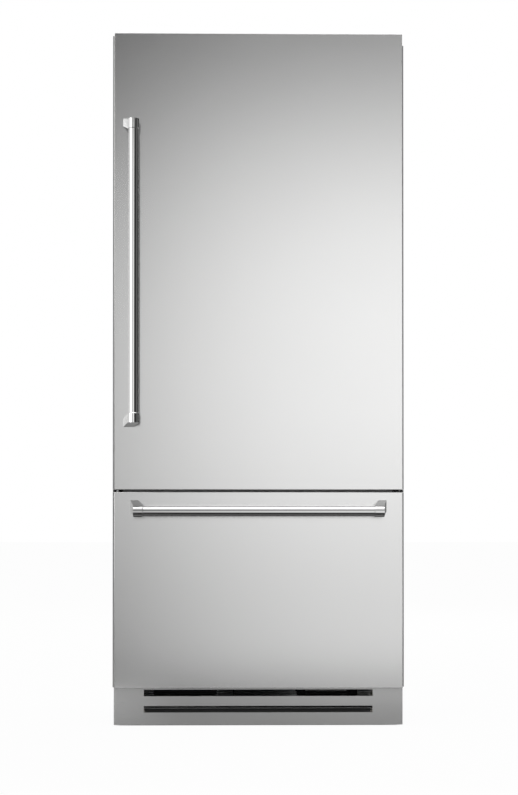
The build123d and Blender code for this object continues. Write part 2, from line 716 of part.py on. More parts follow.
def hinge_plate(z):
    """Flat hinge arm with a round end about the hinge's axis."""
    neck_x = (HINGE_X - HINGE_ROUND, HINGE_X + HINGE_NECK_RIGHT)
    neck = block(neck_x, (HINGE_Y, CABINET_FRONT), z)
    return neck + rod((HINGE_X, HINGE_Y, z[0]), (0, 0, 1), HINGE_ROUND, z[1] - z[0])


def upper_hinge():
    """Hinge arm above the door's frame, with its leaf on the cabinet and its pin pointing down."""
    z = (NOTCH_FLOOR + HINGE_CLEARANCE, NOTCH_FLOOR + HINGE_CLEARANCE + HINGE_PLATE)
    leaf_x = (HINGE_X - HINGE_ROUND, HALF - HINGE_CLEARANCE)
    leaf = block(leaf_x, (CABINET_FRONT - HINGE_LEAF, CABINET_FRONT), (z[0], HEIGHT - HINGE_CLEARANCE))
    reach = HINGE_CLEARANCE + HINGE_PIN_LENGTH
    pin = rod((HINGE_X, HINGE_Y, z[0]), (0, 0, -1), HINGE_PIN_RADIUS, reach)
    return hinge_plate(z) + leaf + pin


def lower_plate_span():
    """Height span of the plates in the gap between door and drawer."""
    return (MULLION_MIDDLE - HINGE_PLATE / 2, MULLION_MIDDLE + HINGE_PLATE / 2)


def lower_leaf():
    """Leaf of a plate in the gap, screwed to the front frame outside the gaskets."""
    leaf_x = (CAVITY_HALF + GASKET_MARGIN + GASKET_WIDTH + HINGE_CLEARANCE, HALF - HINGE_CLEARANCE)
    leaf_z = (MULLION_MIDDLE - HINGE_LEAF_HEIGHT, MULLION_MIDDLE + HINGE_LEAF_HEIGHT)
    return block(leaf_x, (CABINET_FRONT - HINGE_LEAF, CABINET_FRONT), leaf_z)


def lower_hinge():
    """Hinge arm in the gap, with its pin pointing up into the door."""
    z = lower_plate_span()
    reach = DOOR_BOTTOM - z[1] + HINGE_PIN_LENGTH
    pin = rod((HINGE_X, HINGE_Y, z[1]), (0, 0, 1), HINGE_PIN_RADIUS, reach)
    return hinge_plate(z) + lower_leaf() + pin


def hinge_blank():
    """Plate on the left, where the lower hinge goes when the door is hung the other way."""
    return mirror(hinge_plate(lower_plate_span()) + lower_leaf(), about=Plane.YZ)


def hinge_bushes():
    """Plain bushes pressed into the door's frame."""
    bore = HINGE_PIN_RADIUS + RUNNING_FIT
    bushes = []
    for z in (DOOR_BOTTOM, NOTCH_FLOOR - BUSH_LENGTH):
        sleeve = rod((HINGE_X, HINGE_Y, z), (0, 0, 1), bore + BUSH_WALL, BUSH_LENGTH)
        bushes.append(sleeve - rod((HINGE_X, HINGE_Y, z - CUT), (0, 0, 1), bore, BUSH_LENGTH + 2 * CUT))
    return bushes


# Fridge space


def shelf_heights():
    """Undersides of the glass shelves above the crisper deck."""
    return [DECK_Z + (index + 1) * SHELF_STEP_HEIGHT for index in range(SHELF_COUNT)]


def shelf_glass(z):
    """Glass between the front and the rear trim."""
    y = (SHELF_FRONT + TRIM_DEPTH, SHELF_BACK - TRIM_DEPTH)
    return block(centred(SHELF_HALF), y, (z, z + GLASS))


def shelf_frame(z):
    """Front and rear trim on two cantilever brackets that hang on the uprights."""
    trim_z = (z - TRIM_DROP, z + TRIM_RISE)
    front = block(centred(SHELF_HALF), (SHELF_FRONT, SHELF_FRONT + TRIM_DEPTH), trim_z)
    rear = block(centred(SHELF_HALF), (SHELF_BACK - TRIM_DEPTH, SHELF_BACK), trim_z)
    low_front = (SHELF_FRONT, z - TRIM_DROP)
    low_back = (SHELF_BACK, z - BRACKET_HEIGHT)
    outline = [(SHELF_FRONT, z), (SHELF_BACK, z), low_back, low_front]
    bracket_x = SHELF_HALF - BRACKET_INSET
    frame = front + rear
    for side in mirrored(prism_x(outline, (bracket_x, bracket_x + BRACKET_THICK))):
        frame += side
    return frame


def shelf_uprights():
    """Slotted steel strips on the rear wall."""
    middle = SHELF_HALF - BRACKET_INSET + BRACKET_THICK / 2
    z = (DECK_Z + UPRIGHT_END, FRIDGE_TOP - UPRIGHT_END)
    strip = block((middle - UPRIGHT_WIDTH / 2, middle + UPRIGHT_WIDTH / 2), (SHELF_BACK, CAVITY_BACK), z)
    slot_x = (middle - UPRIGHT_SLOT_WIDTH / 2, middle + UPRIGHT_SLOT_WIDTH / 2)
    slot_y = (SHELF_BACK - CUT, SHELF_BACK + UPRIGHT_SLOT_DEPTH)
    slots = []
    low = z[0] + UPRIGHT_SLOT_SPACING
    while low + UPRIGHT_SLOT_SPACING < z[1]:
        slots.append(block(slot_x, slot_y, (low, low + UPRIGHT_SLOT)))
        low += UPRIGHT_SLOT_SPACING
    return mirrored(strip - slots)


def air_duct():
    """Panel on the rear wall with an outlet above each shelf."""
    front = SHELF_BACK + DUCT_CLEARANCE
    z = (DECK_Z + UPRIGHT_END, FRIDGE_TOP - UPRIGHT_END)
    panel = block(centred(DUCT_WIDTH / 2), (front, CAVITY_BACK), z)
    for shelf in [DECK_Z] + shelf_heights():
        middle = shelf + SHELF_STEP_HEIGHT / 2
        vent_y = (front - CUT, front + DUCT_VENT_DEPTH)
        vent = block(centred(DUCT_VENT_LENGTH / 2), vent_y, (middle, middle + DUCT_VENT))
        panel -= vent
        panel -= Pos(0, 0, DUCT_VENT_SPACING) * vent
    return panel


def crisper(side):
    """Clear drawer with a thick front and a finger pull."""
    near = DECK_POST / 2 + CRISPER_GAP
    far = CAVITY_HALF - CRISPER_GAP
    x = (near, far) if side > 0 else (-far, -near)
    y = (SHELF_FRONT + CRISPER_GAP, CAVITY_BACK - CRISPER_BACK_GAP)
    z = (FRIDGE_FLOOR, FRIDGE_FLOOR + CRISPER_HEIGHT)
    drawer = open_box(x, y, z, CRISPER_WALL)
    drawer += block(x, (y[0], y[0] + CRISPER_FRONT_WALL), z)
    middle = sum(x) / 2
    pull_x = (middle - PULL_WIDTH / 2, middle + PULL_WIDTH / 2)
    return drawer - block(pull_x, (y[0] - CUT, y[0] + PULL_HOLLOW), (z[1] - PULL_DEPTH, z[1] + CUT))


def crisper_deck():
    """Frame over the crispers, with a post down to the floor between them."""
    low = DECK_Z - TRIM_DROP
    outer = block(centred(CAVITY_HALF), (SHELF_FRONT, CAVITY_BACK), (low, DECK_Z + GLASS))
    seat_y = (SHELF_FRONT + DECK_RIM, CAVITY_BACK - DECK_RIM)
    hole_y = (seat_y[0] + DECK_RIM, seat_y[1] - DECK_RIM)
    seat_half = CAVITY_HALF - DECK_RIM
    frame = outer - block(centred(seat_half), seat_y, (DECK_Z, DECK_Z + GLASS + CUT))
    hole = block((DECK_RIM, seat_half - DECK_RIM), hole_y, (low - CUT, DECK_Z + CUT))
    for side in mirrored(hole):
        frame -= side
    post_y = (SHELF_FRONT + DECK_RIM, CAVITY_BACK - CRISPER_BACK_GAP)
    return frame + block(centred(DECK_POST / 2), post_y, (FRIDGE_FLOOR, low))


def deck_glass():
    """Glass let into the frame over the crispers."""
    y = (SHELF_FRONT + DECK_RIM, CAVITY_BACK - DECK_RIM)
    return block(centred(CAVITY_HALF - DECK_RIM), y, (DECK_Z, DECK_Z + GLASS))


def light_strips():
    """Light strips on the side walls in front of the shelves."""
    y = (DIKE_BACK + LIGHT_FROM_DOOR, DIKE_BACK + LIGHT_FROM_DOOR + LIGHT_WIDTH)
    z = (DECK_Z + SHELF_STEP_HEIGHT / 2, FRIDGE_TOP - UPRIGHT_END)
    return mirrored(block((CAVITY_HALF - LIGHT_DEPTH, CAVITY_HALF), y, z))


def control_panel():
    """Console under the ceiling with a sloped front."""
    front = SHELF_FRONT
    low = FRIDGE_TOP - PANEL_DROP
    outline = [
        (front, FRIDGE_TOP),
        (front + PANEL_SLOPE, low),
        (front + PANEL_DEPTH, low),
        (front + PANEL_DEPTH, FRIDGE_TOP),
    ]
    return prism_x(outline, centred(PANEL_WIDTH / 2))


# Freezer drawer


def channel(x_web, x_open, half, y):
    """Channel-shaped slide member with its web on one side."""
    low, high = min(x_web, x_open), max(x_web, x_open)
    z = (SLIDE_Z - half, SLIDE_Z + half)
    body = block((low, high), y, z)
    inside = (z[0] + SLIDE_SHEET, z[1] - SLIDE_SHEET)
    through = (y[0] - CUT, y[1] + CUT)
    if x_open < x_web:
        return body - block((x_open - CUT, x_web - SLIDE_SHEET), through, inside)
    return body - block((x_web + SLIDE_SHEET, x_open + CUT), through, inside)


SLIDE_SPAN = (SLIDE_FRONT, SLIDE_BACK)
OUTER_HALF = SLIDE_HEIGHT / 2
MIDDLE_HALF = OUTER_HALF - SLIDE_SHEET - SLIDE_GAP
INNER_HALF = MIDDLE_HALF - SLIDE_SHEET - SLIDE_GAP
MIDDLE_WEB = CAVITY_HALF - SLIDE_SHEET - SLIDE_WEB_GAP
INNER_EDGE = MIDDLE_WEB - SLIDE_SHEET - SLIDE_WEB_GAP
FLANGE_EDGE = ARM_OUTSIDE + SLIDE_SHEET + SLIDE_WEB_GAP


def slide_outer():
    """Slide members screwed to the freezer's side walls."""
    return mirrored(channel(CAVITY_HALF, FLANGE_EDGE, OUTER_HALF, SLIDE_SPAN))


def slide_middle():
    """Slide members that travel half as far as the drawer."""
    return mirrored(channel(MIDDLE_WEB, FLANGE_EDGE, MIDDLE_HALF, SLIDE_SPAN))


def slide_inner():
    """Slide members on the drawer's arms."""
    return mirrored(channel(ARM_OUTSIDE, INNER_EDGE, INNER_HALF, SLIDE_SPAN))


def arm_notch():
    """Room in the drawer liner's rim for the foot of a side arm."""
    y = (INNER_FACE, INNER_FACE + INNER_RIDGE + CUT)
    return block((ARM_INSIDE - ARM_LEDGE - CUT, DIKE_HALF + CUT), y, (ARM_BOTTOM - CUT, ARM_TOP + CUT))


def side_arm():
    """Bent side arm of the drawer: foot on the liner, ledge for the bin and rail for the tray."""
    y = (INNER_FACE, SLIDE_BACK)
    arm = block((ARM_INSIDE, ARM_OUTSIDE), y, (ARM_BOTTOM, ARM_TOP))
    arm += block((ARM_OUTSIDE - ARM_RAIL, ARM_OUTSIDE), y, (ARM_TOP - ARM_SHEET, ARM_TOP))
    arm += block((ARM_OUTSIDE - ARM_LEDGE, ARM_OUTSIDE), y, (ARM_BOTTOM, ARM_BOTTOM + ARM_SHEET))
    foot_x = (ARM_OUTSIDE - ARM_LEDGE, ARM_OUTSIDE)
    return arm + block(foot_x, (INNER_FACE, INNER_FACE + ARM_SHEET), (ARM_BOTTOM, ARM_TOP))


def freezer_bin():
    """Deep bin that hangs by its rim on the ledges of the side arms."""
    rim_z = ARM_BOTTOM + ARM_SHEET
    half = ARM_OUTSIDE - ARM_LEDGE - BIN_SIDE_GAP
    front = INNER_FACE + INNER_RIDGE + FREEZER_BIN_FRONT_GAP
    y = (front, HUMP_FRONT - FREEZER_BIN_BACK_GAP)
    z = (FREEZER_FLOOR + FREEZER_BIN_LIFT, rim_z + FREEZER_RIM)
    body = open_box(centred(half), y, z, FREEZER_BIN_WALL)
    rim_x = (half - FREEZER_BIN_WALL, ARM_INSIDE - BIN_SIDE_GAP)
    for side in mirrored(block(rim_x, y, (rim_z, rim_z + FREEZER_RIM))):
        body += side
    return body


def tray_front():
    """Front of the tray with the tray pushed to the back."""
    return SLIDE_BACK - COVER_GAP - TRAY_DEPTH


def freezer_tray():
    """Shallow tray that slides on the rails of the side arms."""
    rim_z = ARM_TOP + TRAY_GAP
    half = ARM_OUTSIDE - ARM_RAIL - TRAY_SIDE_GAP
    y = (tray_front(), tray_front() + TRAY_DEPTH)
    body = open_box(centred(half), y, (ARM_TOP - TRAY_DROP, rim_z + FREEZER_RIM), FREEZER_BIN_WALL)
    rim_x = (half - FREEZER_BIN_WALL, ARM_OUTSIDE)
    for side in mirrored(block(rim_x, y, (rim_z, rim_z + FREEZER_RIM))):
        body += side
    return body


# Coils and fans


def fin_coil(length, rows, row_spacing, fin_spacing, fin_depth, inlet, seat):
    """Tube bent up and down through plate fins between two end plates, along X and centred on the first row.

    The inlet rises from the top row, and the end plates reach down to the seat.
    """
    half = length / 2
    bend = row_spacing / 2 - FIN_SHEET
    turn = half + bend
    top = (rows - 1) * row_spacing
    points = [(turn, 0, top + inlet), (turn, 0, top)]
    for row in range(rows):
        z = top - row * row_spacing
        side = 1 if row % 2 == 0 else -1
        if row:
            points.append((side * turn, 0, z))
        points.append((-side * turn, 0, z))
    last = points.pop()
    points.append((last[0] / turn * half, 0, 0))
    path = FilletPolyline(*points, radius=bend)
    coil = sweep(Plane(points[0], z_dir=(0, 0, -1)) * Circle(COIL_TUBE_RADIUS), path)
    z = (-row_spacing / 2, top + row_spacing / 2)
    count = int(length / fin_spacing)
    y = centred(fin_depth / 2)
    for index in range(1, count):
        x = -half + index * length / count
        coil += block((x - FIN_SHEET / 2, x + FIN_SHEET / 2), y, z)
    for x in (-half, half - COIL_PLATE):
        coil += block((x, x + COIL_PLATE), y, (-seat, z[1]))
    return coil


def fan_rotor(radius, depth, hub, chord):
    """Fan along +Z from its front: hub, blades, and a shaft that reaches back into its motor."""
    rotor = rod((0, 0, 0), (0, 0, 1), hub, depth)
    blade_length = radius - hub / 2
    blade = Rot(BLADE_TURN, 0, 0) * Box(blade_length, chord, BLADE_THICK)
    blade = Pos(hub / 2 + blade_length / 2, 0, depth / 2) * blade
    for index in range(FAN_BLADES):
        rotor += Rot(0, 0, index * 360 / FAN_BLADES) * blade
    return rotor + rod((0, 0, depth), (0, 0, 1), SHAFT_RADIUS, FAN_RING_GAP + SHAFT_SEAT)


def motor_spider(opening, plate, front, radius, depth):
    """Motor can along +Z on three bent legs that stand on a plate round the fan's opening.

    The plate's face and the front of the motor are given along Z.
    """
    back = front + depth
    can = rod((0, 0, front), (0, 0, 1), radius, depth)
    can = fillet(can.edges().filter_by(GeomType.CIRCLE).sort_by(Axis.Z)[0], MOTOR_ROUND)
    can -= rod((0, 0, front - CUT), (0, 0, 1), SHAFT_RADIUS + RUNNING_FIT, SHAFT_SEAT + 2 * CUT)
    leg_width = centred(SPIDER_WIDTH / 2)
    leg_x = (opening + SHROUD_SHEET, opening + 2 * SHROUD_SHEET)
    leg = block(leg_x, leg_width, (plate, back))
    leg += block((radius - SHROUD_SHEET, leg_x[1]), leg_width, (back - SHROUD_SHEET, back))
    for index in range(SPIDER_LEGS):
        can += Rot(0, 0, SPIDER_TURN + index * 360 / SPIDER_LEGS) * leg
    return can


EVAPORATOR_Y = CAVITY_BACK - EVAPORATOR_FIN_DEPTH / 2
EVAPORATOR_Z = HUMP_TOP + EVAPORATOR_LIFT + EVAPORATOR_ROW_SPACING / 2
EVAPORATOR_FAN_Z = FREEZER_TOP - EVAPORATOR_FAN_RADIUS - EVAPORATOR_FAN_HEADROOM
EVAPORATOR_FAN_Y = COVER_FRONT + COVER_SHEET + FAN_RING_GAP
EVAPORATOR_MOTOR_Y = EVAPORATOR_FAN_Y + EVAPORATOR_FAN_DEPTH + FAN_RING_GAP
EVAPORATOR_FAN_AXIS = Pos(0, 0, EVAPORATOR_FAN_Z) * Rot(-90, 0, 0)


def evaporator():
    """Fin coil that stands on the step of the freezer liner."""
    seat = EVAPORATOR_Z - HUMP_TOP
    coil = fin_coil(
        EVAPORATOR_LENGTH,
        EVAPORATOR_ROWS,
        EVAPORATOR_ROW_SPACING,
        EVAPORATOR_FIN_SPACING,
        EVAPORATOR_FIN_DEPTH,
        EVAPORATOR_ROW_SPACING,
        seat,
    )
    return Pos(0, EVAPORATOR_Y, EVAPORATOR_Z) * coil


def evaporator_fan():
    """Fan that blows through the ring in the cover."""
    rotor = fan_rotor(EVAPORATOR_FAN_RADIUS, EVAPORATOR_FAN_DEPTH, EVAPORATOR_HUB_RADIUS, EVAPORATOR_CHORD)
    return EVAPORATOR_FAN_AXIS * Pos(0, 0, EVAPORATOR_FAN_Y) * rotor


def evaporator_cover():
    """Sheet in front of the evaporator, with the fan's opening and motor, and return slots near the step."""
    y = (COVER_FRONT, COVER_FRONT + COVER_SHEET)
    through = (y[0] - CUT, y[1] + CUT)
    cover = block(centred(CAVITY_HALF), y, (HUMP_TOP, FREEZER_TOP))
    opening = EVAPORATOR_FAN_RADIUS + FAN_RING_GAP
    cover -= rod((0, through[0], EVAPORATOR_FAN_Z), (0, 1, 0), opening, through[1] - through[0])
    motor = motor_spider(opening, y[1], EVAPORATOR_MOTOR_Y, EVAPORATOR_MOTOR_RADIUS, EVAPORATOR_MOTOR_DEPTH)
    cover += EVAPORATOR_FAN_AXIS * motor
    slot_x = (COVER_SLOT_FROM_MIDDLE, CAVITY_HALF - COVER_SLOT_END)
    for row in range(COVER_SLOTS):
        low = HUMP_TOP + EVAPORATOR_LIFT + row * COVER_SLOT_SPACING
        for side in mirrored(block(slot_x, through, (low, low + COVER_SLOT_HEIGHT))):
            cover -= side
    return cover


# Machine compartment


def compressor_feet():
    """Middle of each rubber grommet under the compressor."""
    across = COMPRESSOR_PLATE_X / 2 - GROMMET_RADIUS
    along = COMPRESSOR_PLATE_Y / 2 - GROMMET_RADIUS
    return [(COMPRESSOR_X + x, MACHINE_MIDDLE + y) for x in centred(across) for y in centred(along)]


COMPRESSOR_FLOOR = BASE_TOP + GROMMET_HEIGHT
SHELL_FLOOR = COMPRESSOR_FLOOR + COMPRESSOR_PLATE
SHELL_TOP = SHELL_FLOOR + COMPRESSOR_HEIGHT
SEAM_Z = SHELL_FLOOR + COMPRESSOR_SEAM
STUB_X = COMPRESSOR_X - STUB_OFFSET


def compressor():
    """Welded shell on its foot plate, with the discharge stub and the terminal cover."""
    plate_x = (COMPRESSOR_X - COMPRESSOR_PLATE_X / 2, COMPRESSOR_X + COMPRESSOR_PLATE_X / 2)
    plate_y = (MACHINE_MIDDLE - COMPRESSOR_PLATE_Y / 2, MACHINE_MIDDLE + COMPRESSOR_PLATE_Y / 2)
    up = (0, 0, 1)
    shell = rod((COMPRESSOR_X, MACHINE_MIDDLE, SHELL_FLOOR), up, COMPRESSOR_RADIUS, COMPRESSOR_HEIGHT)
    shell = fillet(shell.edges().filter_by(GeomType.CIRCLE), COMPRESSOR_ROUND)
    seam_radius = COMPRESSOR_RADIUS + COMPRESSOR_PLATE
    shell += rod((COMPRESSOR_X, MACHINE_MIDDLE, SEAM_Z), up, seam_radius, COMPRESSOR_PLATE)
    shell += block(plate_x, plate_y, (COMPRESSOR_FLOOR, SHELL_FLOOR))
    shell += rod((STUB_X, MACHINE_MIDDLE, SEAM_Z), up, STUB_RADIUS, SHELL_TOP + STUB_HEIGHT - SEAM_Z)
    cover_x = (COMPRESSOR_X + COMPRESSOR_RADIUS / 2, COMPRESSOR_X + TERMINAL_REACH)
    cover_y = (MACHINE_MIDDLE - TERMINAL_WIDTH / 2, MACHINE_MIDDLE + TERMINAL_WIDTH / 2)
    return shell + block(cover_x, cover_y, (SEAM_Z - TERMINAL_HEIGHT, SEAM_Z))


def compressor_grommets():
    """Rubber grommets under the compressor's foot plate."""
    return [rod((x, y, BASE_TOP), (0, 0, 1), GROMMET_RADIUS, GROMMET_HEIGHT) for x, y in compressor_feet()]


CONDENSER_Z = BASE_TOP + CONDENSER_LIFT + CONDENSER_ROW_SPACING / 2
CONDENSER_BEND = CONDENSER_ROW_SPACING / 2 - FIN_SHEET
CONDENSER_INLET_X = CONDENSER_X + CONDENSER_LENGTH / 2 + CONDENSER_BEND
CONDENSER_INLET_Z = CONDENSER_Z + (CONDENSER_ROWS - 1) * CONDENSER_ROW_SPACING + CONDENSER_INLET


def condenser():
    """Fin coil that stands on its end plates over the drain pan."""
    seat = CONDENSER_Z - BASE_TOP
    coil = fin_coil(
        CONDENSER_LENGTH,
        CONDENSER_ROWS,
        CONDENSER_ROW_SPACING,
        CONDENSER_FIN_SPACING,
        CONDENSER_FIN_DEPTH,
        CONDENSER_INLET,
        seat,
    )
    return Pos(CONDENSER_X, MACHINE_MIDDLE, CONDENSER_Z) * coil


def discharge_tube():
    """Tube from the compressor's stub over the fan to the condenser's inlet."""
    start = (STUB_X, MACHINE_MIDDLE, SHELL_TOP + STUB_HEIGHT)
    end = (CONDENSER_INLET_X, MACHINE_MIDDLE, CONDENSER_INLET_Z)
    level = max(start[2], end[2]) + TUBE_RISE
    corners = [start, (STUB_X, MACHINE_MIDDLE, level), (CONDENSER_INLET_X, MACHINE_MIDDLE, level), end]
    path = FilletPolyline(*corners, radius=TUBE_BEND)
    return sweep(Plane(start, z_dir=(0, 0, 1)) * Circle(COIL_TUBE_RADIUS), path)


def drain_pan():
    """Shallow pan on the base tray under the condenser."""
    half = CONDENSER_LENGTH / 2 - COIL_PLATE - PAN_GAP
    y = (MACHINE_MIDDLE - CONDENSER_FIN_DEPTH / 2, MACHINE_MIDDLE + CONDENSER_FIN_DEPTH / 2)
    return open_box((CONDENSER_X - half, CONDENSER_X + half), y, (BASE_TOP, BASE_TOP + PAN_HEIGHT), PAN_WALL)


MOTOR_X = CONDENSER_FAN_X + CONDENSER_FAN_DEPTH + FAN_RING_GAP
FAN_AXIS = Pos(0, MACHINE_MIDDLE, FAN_Z) * Rot(0, 90, 0)


def fan_shroud():
    """Plate with the fan's ring, and a spider that carries the motor."""
    plate_x = (CONDENSER_FAN_X - FAN_RING_GAP - SHROUD_SHEET, CONDENSER_FAN_X - FAN_RING_GAP)
    y = (MACHINE_MIDDLE - SHROUD_HALF, MACHINE_MIDDLE + SHROUD_HALF)
    plate = block(plate_x, y, (BASE_TOP, FAN_Z + SHROUD_HALF))
    opening = CONDENSER_FAN_RADIUS + FAN_RING_GAP
    plate -= rod((plate_x[0] - CUT, MACHINE_MIDDLE, FAN_Z), (1, 0, 0), opening, SHROUD_SHEET + 2 * CUT)
    motor = motor_spider(opening, plate_x[1], MOTOR_X, CONDENSER_MOTOR_RADIUS, CONDENSER_MOTOR_DEPTH)
    return plate + FAN_AXIS * motor


def condenser_fan():
    """Fan that draws air through the condenser."""
    rotor = fan_rotor(CONDENSER_FAN_RADIUS, CONDENSER_FAN_DEPTH, CONDENSER_HUB_RADIUS, CONDENSER_CHORD)
    return FAN_AXIS * Pos(0, 0, CONDENSER_FAN_X) * rotor


def control_box():
    """Box with the electronics, under the roof of the machine compartment at the right."""
    x = (LINER_HALF - CONTROL_BOX_WIDTH, LINER_HALF)
    y = (MACHINE_FRONT, MACHINE_FRONT + CONTROL_BOX_DEPTH)
    box = block(x, y, (MACHINE_TOP - CONTROL_BOX_HEIGHT, MACHINE_TOP))
    return fillet(box.edges().filter_by(Axis.Y).group_by(Axis.X)[0], CONTROL_BOX_ROUND)


COVER_X = centred(LINER_HALF - MACHINE_GAP)
COVER_Z = (BASE_TOP, MACHINE_TOP)
INLET_X = CONDENSER_X
INLET_Z = MACHINE_TOP - INLET_DROP


def rear_cover():
    """Sheet over the machine compartment with vents and the opening for the power inlet."""
    y = (REAR_COVER_FRONT, REAR_COVER_BACK)
    through = (y[0] - CUT, y[1] + CUT)
    cover = block(COVER_X, y, COVER_Z)
    for x in (CONDENSER_X, COMPRESSOR_X):
        for index in range(REAR_VENTS):
            low = BASE_TOP + REAR_VENT_LIFT + index * REAR_VENT_SPACING
            vent_x = (x - REAR_VENT_LENGTH / 2, x + REAR_VENT_LENGTH / 2)
            cover -= block(vent_x, through, (low, low + REAR_VENT_HEIGHT))
    inlet_x = (INLET_X - INLET_WIDTH / 2, INLET_X + INLET_WIDTH / 2)
    inlet_z = (INLET_Z - INLET_HEIGHT / 2, INLET_Z + INLET_HEIGHT / 2)
    cover -= block(inlet_x, through, inlet_z)
    for x, z in screw_places():
        cover -= rod((x, through[0], z), (0, 1, 0), SCREW_RADIUS, through[1] - through[0])
    return cover


def screw_places():
    """Places of the rear cover's screws in the bulkhead's flange and the base tray."""
    across = COVER_X[1] - SCREW_EDGE
    heights = (COVER_Z[0] + SCREW_EDGE, COVER_Z[1] - SCREW_EDGE)
    return [(x, z) for x in (-across, 0, across) for z in heights]


def rear_cover_screws():
    """Pan-head screws of the rear cover."""
    screws = []
    for x, z in screw_places():
        head = rod((x, REAR_COVER_BACK, z), (0, 1, 0), SCREW_HEAD_RADIUS, SCREW_HEAD)
        screws.append(head + rod((x, REAR_COVER_BACK, z), (0, -1, 0), SCREW_RADIUS, SCREW_LENGTH))
    return screws


def power_inlet():
    """Socket for a mains lead, let into the rear cover."""
    x = (INLET_X - INLET_WIDTH / 2, INLET_X + INLET_WIDTH / 2)
    z = (INLET_Z - INLET_HEIGHT / 2, INLET_Z + INLET_HEIGHT / 2)
    body = block(x, (REAR_COVER_BACK - INLET_DEPTH, REAR_COVER_BACK), z)
    socket_x = (x[0] + INLET_LIP, x[1] - INLET_LIP)
    socket_y = (REAR_COVER_BACK - INLET_SOCKET, REAR_COVER_BACK + CUT)
    return body - block(socket_x, socket_y, (z[0] + INLET_LIP, z[1] - INLET_LIP))


LEFT_FOOT, RIGHT_FOOT = foot_places()

NODES = {
    "cabinet_wrapper": cabinet_wrapper(),
    "back_panel": back_panel(),
    "bottom_plate": bottom_plate(),
    "insulation": insulation(),
    "front_frame": front_frame(),
    "fridge_liner": fridge_liner(),
    "freezer_liner": freezer_liner(),
    "base_tray": base_tray(),
    "toe_kick": toe_kick(),
    "kick_louvre": kick_louvre(),
    "foot_left": levelling_foot(LEFT_FOOT),
    "foot_right": levelling_foot(RIGHT_FOOT),
    "roller_left": roller(-1),
    "roller_right": roller(1),
    "roller_brackets": [roller_bracket(-1), roller_bracket(1)],
    "door_skin": front_skin(DOOR_BOTTOM, HEIGHT),
    "door_core": door_core(),
    "door_gasket": gasket(FRIDGE_FLOOR, FRIDGE_TOP),
    "door_liner": door_liner(),
    "door_bins": [door_bin(floor) for floor in bin_floors()],
    "door_handle_bar": DOOR_HANDLE * handle_bar(DOOR_HANDLE_LENGTH),
    "door_handle_brackets": [DOOR_HANDLE * piece for piece in handle_brackets(DOOR_HANDLE_LENGTH)],
    "drawer_skin": front_skin(DRAWER_BOTTOM, DRAWER_TOP),
    "drawer_core": front_core(DRAWER_BOTTOM, DRAWER_TOP),
    "drawer_gasket": gasket(FREEZER_FLOOR, FREEZER_TOP),
    "drawer_liner": drawer_liner(),
    "drawer_handle_bar": DRAWER_HANDLE * handle_bar(DRAWER_HANDLE_LENGTH),
    "drawer_handle_brackets": [DRAWER_HANDLE * piece for piece in handle_brackets(DRAWER_HANDLE_LENGTH)],
    "upper_hinge": upper_hinge(),
    "lower_hinge": lower_hinge(),
    "hinge_blank": hinge_blank(),
    "hinge_bushes": hinge_bushes(),
    "shelf_uprights": shelf_uprights(),
    "air_duct": air_duct(),
    "shelf_glass": [deck_glass()] + [shelf_glass(z) for z in shelf_heights()],
    "shelf_frames": [shelf_frame(z) for z in shelf_heights()],
    "crispers": [crisper(-1), crisper(1)],
    "crisper_deck": crisper_deck(),
    "light_strips": light_strips(),
    "control_panel": control_panel(),
    "slide_outer": slide_outer(),
    "slide_middle": slide_middle(),
    "slide_inner": slide_inner(),
    "side_arms": mirrored(side_arm()),
    "freezer_bin": freezer_bin(),
    "freezer_tray": freezer_tray(),
    "evaporator": evaporator(),
    "evaporator_fan": evaporator_fan(),
    "evaporator_cover": evaporator_cover(),
    "compressor": compressor(),
    "compressor_grommets": compressor_grommets(),
    "condenser": condenser(),
    "discharge_tube": discharge_tube(),
    "drain_pan": drain_pan(),
    "fan_shroud": fan_shroud(),
    "condenser_fan": condenser_fan(),
    "control_box": control_box(),
    "rear_cover": rear_cover(),
    "rear_cover_screws": rear_cover_screws(),
    "power_inlet": power_inlet(),
}
os.makedirs("parts", exist_ok=True)
for name, shapes in NODES.items():
    pieces = shapes if isinstance(shapes, list) else [shapes]
    solids = [solid for piece in pieces for solid in piece.solids()]
    placed = [Pos(0, -ORIGIN_Y, 0) * solid for solid in solids]
    export_step(placed[0] if len(placed) == 1 else Compound(placed), f"parts/{name}.step")
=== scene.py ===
# %% [markdown]
# # A built-in refrigerator, from bare solids to a finished picture
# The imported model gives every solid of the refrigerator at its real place, in metres, with the floor at Z = 0
# and the door facing -Y. This lesson dresses it: first the camera and the studio, then one finish after another,
# and last the small pieces that plain solids lack. Nothing of the model is moved, so each piece goes where it says.

# %% Load the frame
import json
import math

import bmesh
import bpy
from mathutils import Matrix, Vector


